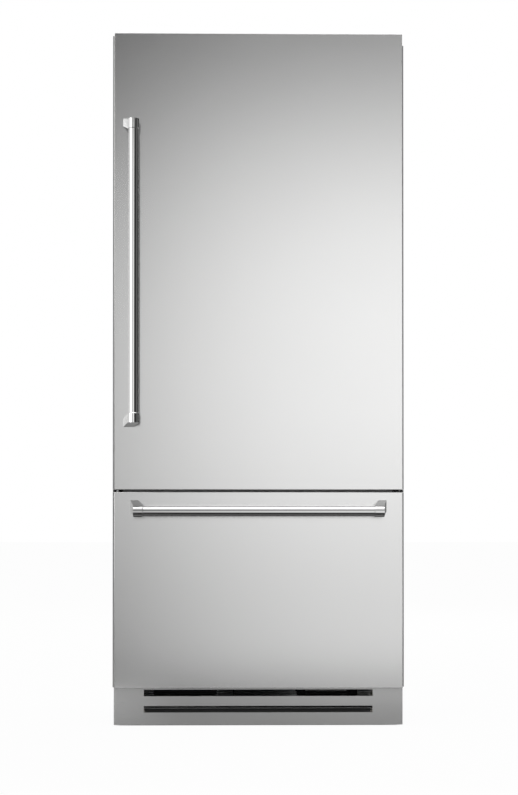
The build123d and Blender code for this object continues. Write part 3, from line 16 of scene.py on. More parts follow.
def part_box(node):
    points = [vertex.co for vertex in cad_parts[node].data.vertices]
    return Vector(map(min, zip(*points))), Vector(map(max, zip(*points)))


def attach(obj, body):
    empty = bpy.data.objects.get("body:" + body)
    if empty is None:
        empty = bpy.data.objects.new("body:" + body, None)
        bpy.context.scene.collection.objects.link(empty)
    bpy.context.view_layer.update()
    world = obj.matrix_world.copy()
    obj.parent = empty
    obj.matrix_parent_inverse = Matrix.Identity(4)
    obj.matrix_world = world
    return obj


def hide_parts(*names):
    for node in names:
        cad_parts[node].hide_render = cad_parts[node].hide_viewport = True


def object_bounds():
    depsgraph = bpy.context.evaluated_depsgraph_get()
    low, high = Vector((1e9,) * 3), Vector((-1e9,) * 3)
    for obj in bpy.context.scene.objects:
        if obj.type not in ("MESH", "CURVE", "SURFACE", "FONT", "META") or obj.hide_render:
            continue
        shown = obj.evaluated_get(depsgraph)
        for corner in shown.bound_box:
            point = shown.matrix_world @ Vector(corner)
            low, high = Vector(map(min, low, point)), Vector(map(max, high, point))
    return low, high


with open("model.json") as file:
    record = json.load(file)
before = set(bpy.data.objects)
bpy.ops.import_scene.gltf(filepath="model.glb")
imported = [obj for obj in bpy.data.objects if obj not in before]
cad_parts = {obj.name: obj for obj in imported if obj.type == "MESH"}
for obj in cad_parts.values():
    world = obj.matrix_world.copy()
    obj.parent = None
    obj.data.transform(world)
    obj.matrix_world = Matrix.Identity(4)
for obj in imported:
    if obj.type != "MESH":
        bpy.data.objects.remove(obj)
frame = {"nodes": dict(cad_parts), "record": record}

nodes = frame["nodes"]
cad_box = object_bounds()
scene = bpy.context.scene
scene.view_settings.view_transform = "Standard"

# %% [markdown]
# ## The camera
# The picture is a front view from a little above the drawer, far enough away that the sides hardly show.
# A frame that was cropped from a taller one keeps its horizon below the middle, which is the lens shift here.

# %% Camera in front of the drawer
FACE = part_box("door_skin")[0].y
CAMERA_AWAY = 5.4
CAMERA_ASIDE = -0.096
CAMERA_HEIGHT = 0.669
CAMERA_UP = 0.011
CAMERA_TURN = -0.018
lens = bpy.data.cameras.new("front_camera")
lens.sensor_width = 36.0
lens.lens = 79.6
lens.shift_y = 0.1161
camera = bpy.data.objects.new("front_camera", lens)
camera.location = (CAMERA_ASIDE, FACE - CAMERA_AWAY, CAMERA_HEIGHT)
camera.rotation_euler = (math.pi / 2 + CAMERA_UP, 0.0, CAMERA_TURN)
scene.collection.objects.link(camera)
scene.camera = camera
print(f"camera {CAMERA_AWAY} m in front of the door, lens {lens.lens} mm")

# %% [markdown]
# ## Shader maths as plain expressions
# Nodes are easier to read as sums. A small class wraps a socket, so that `0.2 + 0.05 * grain` adds the Math nodes
# by itself. Every other node comes from one method: its type, then its settings, then what goes into its sockets.


# %% A wire between nodes
class Wire:
    """One output socket of a node tree."""

    def __init__(self, tree, socket=None):
        self.tree = tree
        self.socket = socket

    def add(self, kind, settings=None, sockets=None, out=0):
        """Add a node of any type, and give the wire of one of its outputs."""
        node = self.tree.nodes.new(kind)
        for name, value in (settings or {}).items():
            setattr(node, name, value)
        for key, value in (sockets or {}).items():
            plug(node.inputs[key], value)
        return Wire(self.tree, node.outputs[out])

    def maths(self, operation, *values):
        """A Math node on wires and numbers."""
        return self.add("ShaderNodeMath", {"operation": operation}, dict(enumerate(values)))

    def __add__(self, other):
        return self.maths("ADD", self, other)

    def __radd__(self, other):
        return self.maths("ADD", other, self)

    def __sub__(self, other):
        return self.maths("SUBTRACT", self, other)

    def __rsub__(self, other):
        return self.maths("SUBTRACT", other, self)

    def __mul__(self, other):
        return self.maths("MULTIPLY", self, other)

    def __rmul__(self, other):
        return self.maths("MULTIPLY", other, self)

    def __truediv__(self, other):
        return self.maths("DIVIDE", self, other)

    def __rtruediv__(self, other):
        return self.maths("DIVIDE", other, self)

    def __abs__(self):
        return self.maths("ABSOLUTE", self)


def plug(socket, value):
    """Put a wire or a plain value into a socket."""
    if isinstance(value, Wire):
        value.tree.links.new(value.socket, socket)
    else:
        socket.default_value = value


def grey(level):
    """A neutral colour."""
    return (level, level, level, 1.0)


def split(vector):
    """The three wires of a vector."""
    apart = vector.add("ShaderNodeSeparateXYZ", sockets={0: vector})
    return [Wire(vector.tree, socket) for socket in apart.socket.node.outputs]


def between(value, low, high, start=0.0, end=1.0):
    """A smooth step from start to end while a value goes from low to high."""
    sockets = {"Value": value, "From Min": low, "From Max": high, "To Min": start, "To Max": end}
    return value.add("ShaderNodeMapRange", {"interpolation_type": "SMOOTHSTEP"}, sockets)


print("sockets wrapped")

# %% [markdown]
# ## The studio
# The background is pure white and the floor is pale. A white room alone would wash the steel out, so the world is
# white only for what looks at it: the camera, reflections and glass. The floor is mixed the same way and keeps a share
# of its shadow. Under the refrigerator it is left to the plain light, and its colour is darkened in the middle as
# painted shade, so that the slots of the toe kick look into the dark.

# %% White room
LOOKS = ("Is Camera Ray", "Is Glossy Ray", "Is Transmission Ray")


def looked_at(tree):
    """1 for a ray from the camera, from a reflection or through glass, and 0 for plain light."""
    path = Wire(tree).add("ShaderNodeLightPath").socket.node
    camera_ray, glossy_ray, glass_ray = [Wire(tree, path.outputs[name]) for name in LOOKS]
    return camera_ray.maths("MAXIMUM", camera_ray.maths("MAXIMUM", camera_ray, glossy_ray), glass_ray)


ROOM_LIGHT = 0.55
world = bpy.data.worlds.new("white_room")
world.use_nodes = True
world.cycles.sampling_method = "NONE"
scene.world = world
backdrop = world.node_tree.nodes["Background"].inputs
plug(backdrop["Color"], grey(1.0))
plug(backdrop["Strength"], ROOM_LIGHT + (1 - ROOM_LIGHT) * looked_at(world.node_tree))
print(f"white room, giving {ROOM_LIGHT:.0%} of its light")


# %% Pale floor
def flat_sheet(name, size, place):
    """A flat sheet of the studio, made as a grid and put in place by a matrix."""
    shape = bmesh.new()
    bmesh.ops.create_grid(shape, x_segments=1, y_segments=1, size=0.5)
    bmesh.ops.transform(shape, matrix=place @ Matrix.Diagonal((*size, 1.0, 1.0)), verts=shape.verts)
    mesh = bpy.data.meshes.new(name)
    shape.to_mesh(mesh)
    shape.free()
    sheet = bpy.data.objects.new(name, mesh)
    scene.collection.objects.link(sheet)
    return sheet


FLOOR_SIZE = 60.0
FLOOR_DROP = 0.0005
FLOOR_PALE = 0.9
FLOOR_SHADOW = 0.04
FLOOR_PAINTED_SHADE = 0.05
UNDER_FADE = 0.03
UNDER_FRONT = (FACE + 0.045, FACE + 0.065)
PAINTED_SHADE_SIDE = (0.38, 0.42)
PAINTED_SHADE_BACK = (0.24, 0.29)
floor = flat_sheet("pale_floor", (FLOOR_SIZE, FLOOR_SIZE), Matrix.Translation((0, 0, -FLOOR_DROP)))
paper = bpy.data.materials.new("floor_paper")
paper.use_nodes = True
tree = paper.node_tree
matt = tree.nodes["Principled BSDF"]
plug(matt.inputs["Roughness"], 0.9)
plug(matt.inputs["Specular IOR Level"], 0.1)
glow = Wire(tree).add("ShaderNodeEmission", sockets={"Color": grey(1.0), "Strength": 1.0})
ground_x, ground_y, _ = split(Wire(tree).add("ShaderNodeTexCoord", out="Object"))
under = between(abs(ground_x), cad_box[1].x - UNDER_FADE, cad_box[1].x, 1.0, 0.0)
under *= between(ground_y, *UNDER_FRONT) * between(ground_y, cad_box[1].y - UNDER_FADE, cad_box[1].y, 1.0, 0.0)
share = looked_at(tree) * (1 - FLOOR_SHADOW) * (1 - under)
# Painted shade: the paper colour is darkened under the middle of the refrigerator, where the toe kick's slots look
# down.
dark = under * between(abs(ground_x), *PAINTED_SHADE_SIDE, 1.0, 0.0) * between(ground_y, *PAINTED_SHADE_BACK, 1.0, 0.0)
paper_and_painted_shade = {0: dark, 6: grey(FLOOR_PALE), 7: grey(FLOOR_PAINTED_SHADE)}
pale = dark.add("ShaderNodeMix", {"data_type": "RGBA"}, paper_and_painted_shade, out=2)
plug(matt.inputs["Base Color"], pale)
mixed = share.add("ShaderNodeMixShader", sockets={0: share, 1: Wire(tree, matt.outputs[0]), 2: glow})
plug(tree.nodes["Material Output"].inputs["Surface"], mixed)
floor.data.materials.append(paper)
print(f"the floor keeps {FLOOR_SHADOW:.0%} of its shadow")

# %% [markdown]
# ## Soft lamps
# Paint, plastic and the inside of the cabinet need plain light. Three large area lamps give it, two in front and one
# behind. They keep out of the reflections, because the steel has its own cards to look at.

# %% Three area lamps
LAMPS = {
    "key_lamp": ((-3.2, -5.2, 4.2), 85.0),
    "fill_lamp": ((3.6, -4.6, 2.6), 45.0),
    "rear_lamp": ((1.5, 5.0, 3.6), 80.0),
}
LAMP_SIZE = 3.0
LAMP_AIM = Vector((0, 0, 1.0))
for name, (place, power) in LAMPS.items():
    soft = bpy.data.lights.new(name, "AREA")
    soft.size = LAMP_SIZE
    soft.energy = power
    lamp = bpy.data.objects.new(name, soft)
    lamp.location = place
    lamp.rotation_euler = (LAMP_AIM - lamp.location).to_track_quat("-Z", "Y").to_euler()
    lamp.visible_glossy = False
    lamp.visible_camera = False
    scene.collection.objects.link(lamp)
print(f"{len(LAMPS)} soft lamps")

# %% [markdown]
# ## Cards for the steel to look at
# Metal has no colour of its own: a steel door shows the room in front of it. A studio shapes that with cards, grey
# and black sheets that only the reflections see. The card behind the camera is bright near the horizon and darker
# above it and to the left, so the door fades the same way, and the drawer fades with the card on the floor. A dark card
# stands at the right for the edge of the upright bar. Bright cards above and at the left make the white lines of the
# bars, and a low one lights the toe kick. Near the floor both side cards are grey, so that the fronts keep their tone
# when one walks round them.

# %% A graded card
def studio_card(name, size, place, shade):
    """A sheet that only reflections see, with the brightness that a function of its X, Y and Z gives."""
    card = flat_sheet(name, size, place)
    card.visible_camera = card.visible_diffuse = card.visible_shadow = card.visible_transmission = False
    ink = bpy.data.materials.new(name)
    ink.use_nodes = True
    ink.cycles.emission_sampling = "NONE"
    tree = ink.node_tree
    light = tree.nodes["Principled BSDF"].inputs
    plug(light["Base Color"], grey(0.0))
    plug(light["Specular IOR Level"], 0.0)
    plug(light["Emission Strength"], 1.0)
    plug(light["Emission Color"], shade(*split(Wire(tree).add("ShaderNodeTexCoord", out="Object"))))
    card.data.materials.append(ink)
    return card


print("cards can be hung")

# %% Shades of the front and the floor card
CARD_AWAY = 14.0
EDGE_ON_CARD = 2.0
FADE_WIDTH = 3.9
BLACK = 0.03


def across(x, fall):
    """Full at the right edge of the door, falling off ever faster to the left."""
    left = x.maths("MINIMUM", x.maths("MAXIMUM", EDGE_ON_CARD - x, 0.0), FADE_WIDTH)
    return 1 - fall * (left * left)


def front_shade(x, y, z):
    """Bright at the horizon, darker above and to the left, dark past the door's right edge, grey again high up."""
    # The fade to the left is steeper high up and close to the floor.
    fall = 0.035 + between(z, 2.25, 6.0, 0.0, 0.02) + between(z, 4.2, 5.2, 0.0, 0.014)
    fall += between(z, -0.5, 1.6, 0.008, 0.0)
    door = between(z, 4.6, 5.67, 1.4, 0.0) * between(z, -1.3, 1.9, 0.58, 1.0)
    high_up = between(z, 8.0, 10.0, 0.0, 0.85)
    return (door + high_up) * across(x, fall) * between(x, 3.7, 4.5, 1.0, BLACK)


def floor_shade(x, y, z):
    """Grey far out, brighter nearer by, then dark, and grey again right before the toe kick."""
    nearer = between(y, FACE - 4.0, FACE - 1.7)
    on_card = x * (1 + CARD_AWAY / CAMERA_AWAY) / (1 + (FACE - y) / CAMERA_AWAY)
    base = between(y, FACE - CARD_AWAY, FACE - 5.0, 0.8, 0.67)
    far = (base + 0.53 * nearer) * between(y, FACE - 1.62, FACE - 1.0, 1.0, BLACK)
    kick = between(y, FACE - 0.22, FACE - 0.12, 0.0, 0.22)
    return far * across(on_card, 0.037 + 0.018 * nearer) + kick


print(f"the front card hangs {CARD_AWAY} m away")

# %% Shades of the other cards
SIDE_GREY = 0.5
LEFT_GREY = 0.6
BAR_WHITE = 3.2
TOP_WHITE = 4.0


def low_shade(x, y, z):
    """Bright past the left end of the toe kick, and a little brighter again at the right."""
    return between(x, -0.52, -0.22, 1.3, 0.27) + between(x, 0.0, 0.5, 0.0, 0.26)


def side_shade(x, y, z):
    """Almost black in front at the height of the bars, and grey above and below."""
    bars = between(z, 0.4, 0.6) * between(z, 2.8, 3.4, 1.0, 0.0)
    return SIDE_GREY + bars * (between(y, FACE - 1.25, FACE - 0.75, 0.05, 0.19) - SIDE_GREY)


def left_shade(x, y, z):
    """Bright in front from the foot of the upright bar upwards, and grey lower down and beside the door."""
    front = between(y, FACE - 1.0, FACE - 0.5, 1.0, 0.0)
    return front * between(z, 0.75, 1.1, 0.8, BAR_WHITE) + (1 - front) * LEFT_GREY


def top_shade(x, y, z):
    """The same white all over."""
    return grey(TOP_WHITE)


print(f"white {BAR_WHITE} at the left and {TOP_WHITE} above")

# %% Hang the cards
LEVEL = Matrix()
UPRIGHT = Matrix.Rotation(math.pi / 2, 4, "X")
SIDEWAYS = Matrix.Rotation(math.pi / 2, 4, "Z") @ UPRIGHT
CARDS = {
    "front_card": ((11.4, 12.3), (1.1, FACE - CARD_AWAY, 6.15), UPRIGHT, front_shade),
    "floor_card": ((13.0, 14.6), (0.0, FACE - 6.7, 0.001), LEVEL, floor_shade),
    "low_card": ((2.4, 0.05), (0.0, FACE - 0.46, 0.025), UPRIGHT, low_shade),
    "side_card": ((6.6, 6.4), (2.6, FACE - 2.9, 3.2), SIDEWAYS, side_shade),
    "left_card": ((5.0, 6.4), (-4.2, FACE - 2.6, 3.2), SIDEWAYS, left_shade),
    "top_card": ((5.0, 1.8), (-0.4, FACE - 0.6, 5.4), LEVEL, top_shade),
}
for name, (size, middle, turn, shade) in CARDS.items():
    studio_card(name, size, Matrix.Translation(middle) @ turn, shade)
print(f"{len(CARDS)} cards hang round the steel")

# %% [markdown]
# ## Finishes
# Each finish starts from the same shader, with its plain colour, roughness and metal set on the sockets. What
# varies over the surface, such as grain, cloud or dust, is then wired into colour, roughness and bump. All of them
# read Object coordinates, which are metres in this model, so a scale is a count to the metre.


# %% Helpers for every finish
def start_finish(name, colour, rough, metal=0.0, constants=None):
    """A material with its plain values, and the wire of its Object coordinates."""
    material = bpy.data.materials.new(name)
    material.use_nodes = True
    shader = material.node_tree.nodes["Principled BSDF"]
    plain = {"Base Color": (*colour, 1.0), "Roughness": rough, "Metallic": metal}
    for socket, value in {**plain, **(constants or {})}.items():
        plug(shader.inputs[socket], value)
    return material, Wire(material.node_tree).add("ShaderNodeTexCoord", out="Object")


def feed(material, socket, value):
    """Let a wire or a value set one socket of the finish."""
    plug(material.node_tree.nodes["Principled BSDF"].inputs[socket], value)


def feed_bump(material, height, distance):
    """Raise the surface by a height from 0 to 1, over a distance in metres."""
    feed(material, "Normal", height.add("ShaderNodeBump", sockets={"Distance": distance, "Height": height}))


def noise(place, scale, detail=2.0):
    """Soft clouds, as many to the metre as scale says."""
    return place.add("ShaderNodeTexNoise", sockets={"Vector": place, "Scale": scale, "Detail": detail})


def stretched(place, scale):
    """The place with its three directions scaled apart, for grain and streaks."""
    return place.add("ShaderNodeMapping", sockets={"Vector": place, "Scale": scale})


def tint(share, low, high):
    """A colour between two colours or colour wires, by a share from 0 to 1."""
    low, high = [c if isinstance(c, Wire) else (*c, 1.0) for c in (low, high)]
    return share.add("ShaderNodeMix", {"data_type": "RGBA"}, {0: share, 6: low, 7: high}, out=2)


def shades(colour, spread):
    """A colour made darker and lighter by a share."""
    return [c * (1 - spread) for c in colour], [min(1.0, c * (1 + spread)) for c in colour]


def dress(material, *names):
    """Give a finish to CAD solids."""
    for name in names:
        for slot in nodes[name].material_slots:
            slot.material = material


print("finish helpers ready")

# %% [markdown]
# ## Satin stainless steel
# The fronts are stainless sheet with a fine level grain from a belt. Such a grain smears reflections up and down and
# keeps them sharp sideways, which is anisotropy turned by a quarter. The grain itself is noise stretched along X,
# hundreds of times finer than it is long, and it barely moves roughness and bump.

# %% Steel of the fronts and the toe kick
STEEL = (0.72, 0.72, 0.717)
KICK_STEEL = (0.62, 0.62, 0.617)
GAP_STEEL = (0.5, 0.5, 0.5)
BELT_GRAIN = (4.0, 4.0, 1100.0)


def satin_steel(name, tone, rough):
    """Sheet with a level belt grain."""
    steel, place = start_finish(name, tone, rough, 1.0, {"Anisotropic": 0.7, "Anisotropic Rotation": 0.25})
    grain = noise(stretched(place, BELT_GRAIN), 1.0, 3.0)
    cloud = noise(place, 3.0)
    feed(steel, "Base Color", tint(grain, *shades(tone, 0.015)))
    feed(steel, "Roughness", rough - 0.02 + 0.03 * grain + 0.015 * cloud)
    feed_bump(steel, grain, 0.000004)
    return steel


dress(satin_steel("front_steel", STEEL, 0.19), "door_skin", "drawer_skin")
dress(satin_steel("kick_steel", KICK_STEEL, 0.28), "toe_kick")
dress(satin_steel("gap_steel", GAP_STEEL, 0.5), "front_frame")
print("steel on the fronts, the toe kick and the frame in the gap")

# %% [markdown]
# ## Polished chrome
# Handle bars and brackets are polished and plated. Chromium is a smooth mirror that gives back about six tenths of the
# light, and a little unevenness in the roughness is what separates plated metal from a perfect one.

# %% Chrome of the handles
CHROME = (0.62, 0.62, 0.618)
chrome, place = start_finish("handle_chrome", CHROME, 0.05, 1.0)
feed(chrome, "Roughness", 0.035 + 0.03 * noise(place, 45.0, 4.0))
dress(chrome, "door_handle_bar", "door_handle_brackets", "drawer_handle_bar", "drawer_handle_brackets")
print("chrome on the handles")

# %% [markdown]
# ## Painted sheet
# The wrapper, the frame behind the doors and the shelf uprights are powder-coated. Powder flows into a soft orange
# peel of about a millimetre, and it gathers dust low down near the floor.

# %% Powder coats
DUST = (0.42, 0.40, 0.37)
DUST_HEIGHT = (0.02, 0.4)
DUST_MOST = 0.45


def painted_sheet(name, colour, rough, peel=800.0):
    """Powder coat with orange peel, a little cloud, and dust near the floor."""
    paint, place = start_finish(name, colour, rough)
    cloud = noise(place, 2.5, 3.0)
    height = split(place)[2]
    dust = between(height, *DUST_HEIGHT, DUST_MOST, 0.0) * noise(place, 14.0, 5.0)
    feed(paint, "Base Color", tint(dust, tint(cloud, *shades(colour, 0.035)), DUST))
    feed(paint, "Roughness", rough - 0.03 + 0.06 * cloud + 0.25 * dust)
    feed_bump(paint, noise(place, peel, 1.0), 0.00006)
    return paint


dress(painted_sheet("wrapper_paint", (0.42, 0.43, 0.44), 0.42), "cabinet_wrapper")
dress(painted_sheet("frame_grey", (0.29, 0.29, 0.293), 0.38), "door_core", "drawer_core")
dress(painted_sheet("upright_white", (0.8, 0.8, 0.8), 0.38), "shelf_uprights")
dress(painted_sheet("compressor_black", (0.018, 0.018, 0.02), 0.3, 500.0), "compressor")
print("paint on the wrapper, frames, uprights and compressor")

# %% [markdown]
# ## Galvanised sheet
# What nobody sees is plain galvanised steel: back, underside, base and rear cover. Its zinc freezes in flat crystals
# of about a centimetre, the spangle. Cells of a Voronoi texture give each crystal its own grey and its own gloss.

# %% Spangle
ZINC_SHEET = (0.55, 0.57, 0.58)
ZINC_STAIN = (0.5, 0.5, 0.49)
galvanised, place = start_finish("galvanised", ZINC_SHEET, 0.45, 0.85)
cells = place.add("ShaderNodeTexVoronoi", sockets={"Vector": place, "Scale": 70.0, "Randomness": 1.0}, out="Color")
crystal = split(cells)[0]
stain = noise(place, 5.0, 4.0)
feed(galvanised, "Base Color", tint(stain, tint(crystal, *shades(ZINC_SHEET, 0.12)), ZINC_STAIN))
feed(galvanised, "Roughness", 0.36 + 0.16 * crystal + 0.08 * stain)
feed_bump(galvanised, crystal, 0.00002)
dress(galvanised, "back_panel", "bottom_plate", "base_tray", "rear_cover", "roller_brackets")
print("spangle on the back and the base")

# %% [markdown]
# ## Zinc plate
# Hinges, slides, feet and screws are bright zinc. The passivation leaves a faint warm and cool bloom in patches, and
# drawing or rolling leaves fine lines along the part. The two plates in the gap between door and drawer are painted
# black as painted shade of the gap, and are bare metal only where the pin is, so that the gap stays dark with one
# short bright line at each end.

# %% Plated parts
def plated(name, colour, warm, rough, lines=(60.0, 60.0, 60.0)):
    """Zinc with a bloom of colour and fine rolling lines."""
    zinc, place = start_finish(name, colour, rough, 1.0)
    bloom = noise(place, 18.0, 3.0)
    drawn = noise(stretched(place, lines), 6.0, 3.0)
    feed(zinc, "Base Color", tint(bloom, colour, warm))
    feed(zinc, "Roughness", rough - 0.06 + 0.08 * drawn + 0.06 * bloom)
    feed_bump(zinc, drawn, 0.00001)
    return zinc


hinge_zinc = plated("hinge_zinc", (0.62, 0.63, 0.64), (0.68, 0.65, 0.56), 0.34)
dress(hinge_zinc, "upper_hinge", "rear_cover_screws")
slide_zinc = plated("slide_zinc", (0.6, 0.62, 0.65), (0.64, 0.63, 0.6), 0.3, (300.0, 4.0, 300.0))
dress(slide_zinc, "slide_outer", "slide_middle", "slide_inner", "side_arms")
foot_zinc = plated("foot_zinc", (0.55, 0.55, 0.55), (0.58, 0.55, 0.48), 0.4)
dress(foot_zinc, "foot_left", "foot_right")
print("zinc on hinge, slides and feet")

# %% Plates in the gap
GAP_PAINTED_SHADE = (0.012, 0.012, 0.012)
BARE_METAL = (0.6, 0.6, 0.6)
BARE_RIGHT = (0.4405, 0.0045, 0.006)
BARE_LEFT = (-0.4365, 0.0035, 0.005)
# The black of these plates is painted shade for the gap between door and drawer; the bare ends are real metal.
gap_plate, place = start_finish("gap_plate", GAP_PAINTED_SHADE, 0.45)
along = split(place)[0]
right, left = [between(abs(along - x), full, none, 1.0, 0.0) for x, full, none in (BARE_RIGHT, BARE_LEFT)]
bare = right + left
feed(gap_plate, "Base Color", tint(bare, GAP_PAINTED_SHADE, BARE_METAL))
feed(gap_plate, "Metallic", bare)
feed(gap_plate, "Roughness", 0.4 + 0.1 * noise(place, 300.0))
dress(gap_plate, "lower_hinge", "hinge_blank")
print("two black plates with bare ends")

# %% [markdown]
# ## Moulded plastic and rubber
# Liners, covers, louvres, fans, seals and wheels come out of moulds or off a vacuum former. The mould leaves a fine
# stipple, and the melt leaves slow changes of tone. One function makes them all, from colour, gloss and stipple.

# %% Mouldings
def moulded(name, colour, rough, stipple=1200.0, depth=0.00003):
    """Plastic with a mould's stipple and faint flow marks."""
    plastic, place = start_finish(name, colour, rough)
    grain = noise(place, stipple, 1.0)
    flow = noise(stretched(place, (1.0, 1.0, 0.4)), 6.0, 3.0)
    feed(plastic, "Base Color", tint(flow, *shades(colour, 0.03)))
    feed(plastic, "Roughness", rough - 0.05 + 0.06 * grain + 0.05 * flow)
    feed_bump(plastic, grain, depth)
    return plastic


dress(moulded("liner_white", (0.82, 0.82, 0.81), 0.3, 700.0), "fridge_liner", "freezer_liner", "air_duct")
dress(moulded("inner_door_white", (0.83, 0.83, 0.82), 0.28, 700.0), "door_liner", "drawer_liner")
dress(moulded("cover_white", (0.8, 0.81, 0.81), 0.38), "evaporator_cover")
dress(moulded("bush_white", (0.82, 0.82, 0.78), 0.4), "hinge_bushes")
louvre_black = moulded("louvre_black", (0.006, 0.006, 0.0065), 0.8)
feed(louvre_black, "Specular IOR Level", 0.25)
dress(louvre_black, "kick_louvre")
dress(moulded("machine_black", (0.018, 0.018, 0.019), 0.5), "power_inlet", "fan_shroud", "drain_pan")
dress(moulded("fan_grey", (0.1, 0.1, 0.105), 0.45), "evaporator_fan", "condenser_fan")
dress(moulded("roller_nylon", (0.07, 0.07, 0.072), 0.5, 400.0, 0.00008), "roller_left", "roller_right")
dress(moulded("gasket_grey", (0.27, 0.27, 0.28), 0.55, 900.0), "door_gasket", "drawer_gasket")
dress(moulded("grommet_rubber", (0.03, 0.03, 0.03), 0.7, 500.0, 0.0001), "compressor_grommets")
print("mouldings done")

# %% [markdown]
# ## Clear plastic and glass
# Bins and crispers are clear moulded plastic, slightly milky where the wall is thick. Shelves are glass, and glass
# looks green where one looks into its edge, so the colour goes deeper close to the rim of the pane.

# %% Bins and shelves
CLEAR = (0.985, 0.99, 0.995)
MILKY = (0.955, 0.975, 0.985)
clear, place = start_finish("clear_plastic", CLEAR, 0.06, 0.0, {"Transmission Weight": 0.9, "IOR": 1.49})
milk = noise(place, 7.0, 3.0)
feed(clear, "Base Color", tint(milk, MILKY, CLEAR))
feed(clear, "Roughness", 0.03 + 0.08 * milk)
dress(clear, "door_bins", "crispers", "freezer_bin", "freezer_tray")

PANE = (0.93, 0.975, 0.955)
PANE_EDGE = (0.35, 0.66, 0.55)
RIM_START = 0.003
RIM_FULL = 0.0005
pane, place = start_finish("shelf_pane", PANE, 0.02, 0.0, {"Transmission Weight": 1.0, "IOR": 1.52})
glass_low, glass_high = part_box("shelf_glass")
pane_x, pane_y, _ = split(place)
rim = between(abs(pane_x), glass_high.x - RIM_START, glass_high.x - RIM_FULL)
rim = rim.maths("MAXIMUM", rim, between(pane_y, glass_low.y + RIM_FULL, glass_low.y + RIM_START, 1.0, 0.0))
feed(pane, "Base Color", tint(rim, PANE, PANE_EDGE))
feed(pane, "Roughness", 0.015 + 0.02 * noise(place, 20.0, 4.0) + 0.2 * rim)
dress(pane, "shelf_glass")
print("clear plastic and glass")

# %% [markdown]
# ## Aluminium
# Shelf trims are drawn and brushed along their length. The two heat exchangers are tube in thin fins: fine lines a
# couple of millimetres apart, dusty between them.

# %% Trims and fins
TRIM = (0.74, 0.75, 0.76)
trim, place = start_finish("shelf_trim", TRIM, 0.28, 1.0)
drawn = noise(stretched(place, (3.0, 900.0, 900.0)), 1.0, 3.0)
feed(trim, "Base Color", tint(drawn, *shades(TRIM, 0.04)))
feed(trim, "Roughness", 0.22 + 0.1 * drawn)
feed_bump(trim, drawn, 0.00001)
dress(trim, "shelf_frames", "crisper_deck")

FIN = (0.7, 0.71, 0.72)
LINT = (0.3, 0.29, 0.27)
FIN_SPACING = 0.0022
coil, place = start_finish("finned_coil", FIN, 0.4, 0.9)
fin_x = split(place)[0]
groove = abs(fin_x.maths("FRACT", fin_x / FIN_SPACING) - 0.5) * 2
lint = noise(place, 30.0, 4.0)
feed(coil, "Base Color", tint(groove * lint, FIN, LINT))
feed(coil, "Roughness", 0.3 + 0.25 * lint)
feed_bump(coil, groove, 0.0002)
dress(coil, "evaporator", "condenser")
print("aluminium trims and fins")

# %% [markdown]
# ## Foam, copper, lights and console
# The last few finishes are single ones. Foam is a froth of small cells. Copper tarnishes in brown patches. The light
# strip is a milky lens with a row of bright spots behind it, and the console is glossy black with a few finger marks.

# %% Single finishes
FOAM = (0.78, 0.69, 0.47)
foam, place = start_finish("foam", FOAM, 0.85)
froth = place.add("ShaderNodeTexVoronoi", sockets={"Vector": place, "Scale": 420.0})
feed(foam, "Base Color", tint(noise(place, 8.0, 4.0), *shades(FOAM, 0.08)))
feed(foam, "Roughness", 0.78 + 0.15 * froth)
feed_bump(foam, froth, 0.0006)
dress(foam, "insulation")

COPPER = (0.72, 0.41, 0.27)
TARNISH = (0.36, 0.2, 0.13)
copper, place = start_finish("copper", COPPER, 0.32, 1.0)
tarnish = noise(place, 26.0, 5.0)
feed(copper, "Base Color", tint(tarnish, COPPER, TARNISH))
feed(copper, "Roughness", 0.2 + 0.3 * tarnish)
dress(copper, "discharge_tube")

SPOT_SPACING = 0.03
lit, place = start_finish("light_lens", (0.85, 0.85, 0.84), 0.35, 0.0, {"Emission Strength": 0.8})
spot_z = split(place)[2]
spot = between(abs(spot_z.maths("FRACT", spot_z / SPOT_SPACING) - 0.5), 0.05, 0.4, 1.0, 0.0)
feed(lit, "Emission Color", tint(spot, (0.62, 0.61, 0.58), (1.0, 0.98, 0.94)))
feed(lit, "Roughness", 0.3 + 0.1 * noise(place, 300.0))
dress(lit, "light_strips")

console, place = start_finish("console_black", (0.03, 0.03, 0.033), 0.12, 0.0, {"Coat Weight": 0.6})
marks = noise(place, 22.0, 6.0)
feed(console, "Base Color", tint(marks, (0.026, 0.026, 0.029), (0.04, 0.04, 0.043)))
feed(console, "Roughness", 0.06 + 0.16 * marks)
dress(console, "control_panel", "control_box")
print("foam, copper, lights and console")

# %% [markdown]
# ## Rounded copies
# No moulding or casting has knife edges, and it is the light on a small round that makes an edge look real. A copy
# of the solid has its loose triangles merged and its flat faces joined again, and then the bevel operator rounds
# every sharp edge. The finish comes along, and the copy stands for the solid on the same body.

# %% Stand a shape in for a solid
homes = {node: body for body, members in frame["record"]["behaviour"]["bodies"].items() for node in members}
slots = {part["node"]: part["material_slot"] for part in frame["record"]["subparts"]}
SMOOTH_BELOW = math.radians(32)


def settle(shape, name, finish, body, slot, *replaced):
    """Make an object of a bmesh, with finish and body, and hide the solids it stands for. The slot is not used."""
    mesh = bpy.data.meshes.new(name)
    shape.to_mesh(mesh)
    shape.free()
    mesh.materials.append(finish)
    mesh.shade_smooth()
    mesh.set_sharp_from_angle(angle=SMOOTH_BELOW)
    piece = bpy.data.objects.new(name, mesh)
    scene.collection.objects.link(piece)
    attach(piece, body)
    if replaced:
        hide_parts(*replaced)
    return piece


def stand_in(shape, node, change):
    """Settle a shape in the place of a solid, with the finish and body of the solid."""
    finish = nodes[node].material_slots[0].material
    return settle(shape, f"{node}_{change}", finish, homes[node], slots[node], node)


def even_normals(piece):
    """Let the large faces lead the shading, so that they look flat next to their rounds."""
    piece.modifiers.new("even", "WEIGHTED_NORMAL").keep_sharp = True
    return piece


print(f"{len(homes)} solids have a body, {len(slots)} have a slot")

# %% Round the edges of a solid
SHARP_ABOVE = math.radians(30)
FLAT_BELOW = math.radians(0.5)
SAME_POINT = 1e-6


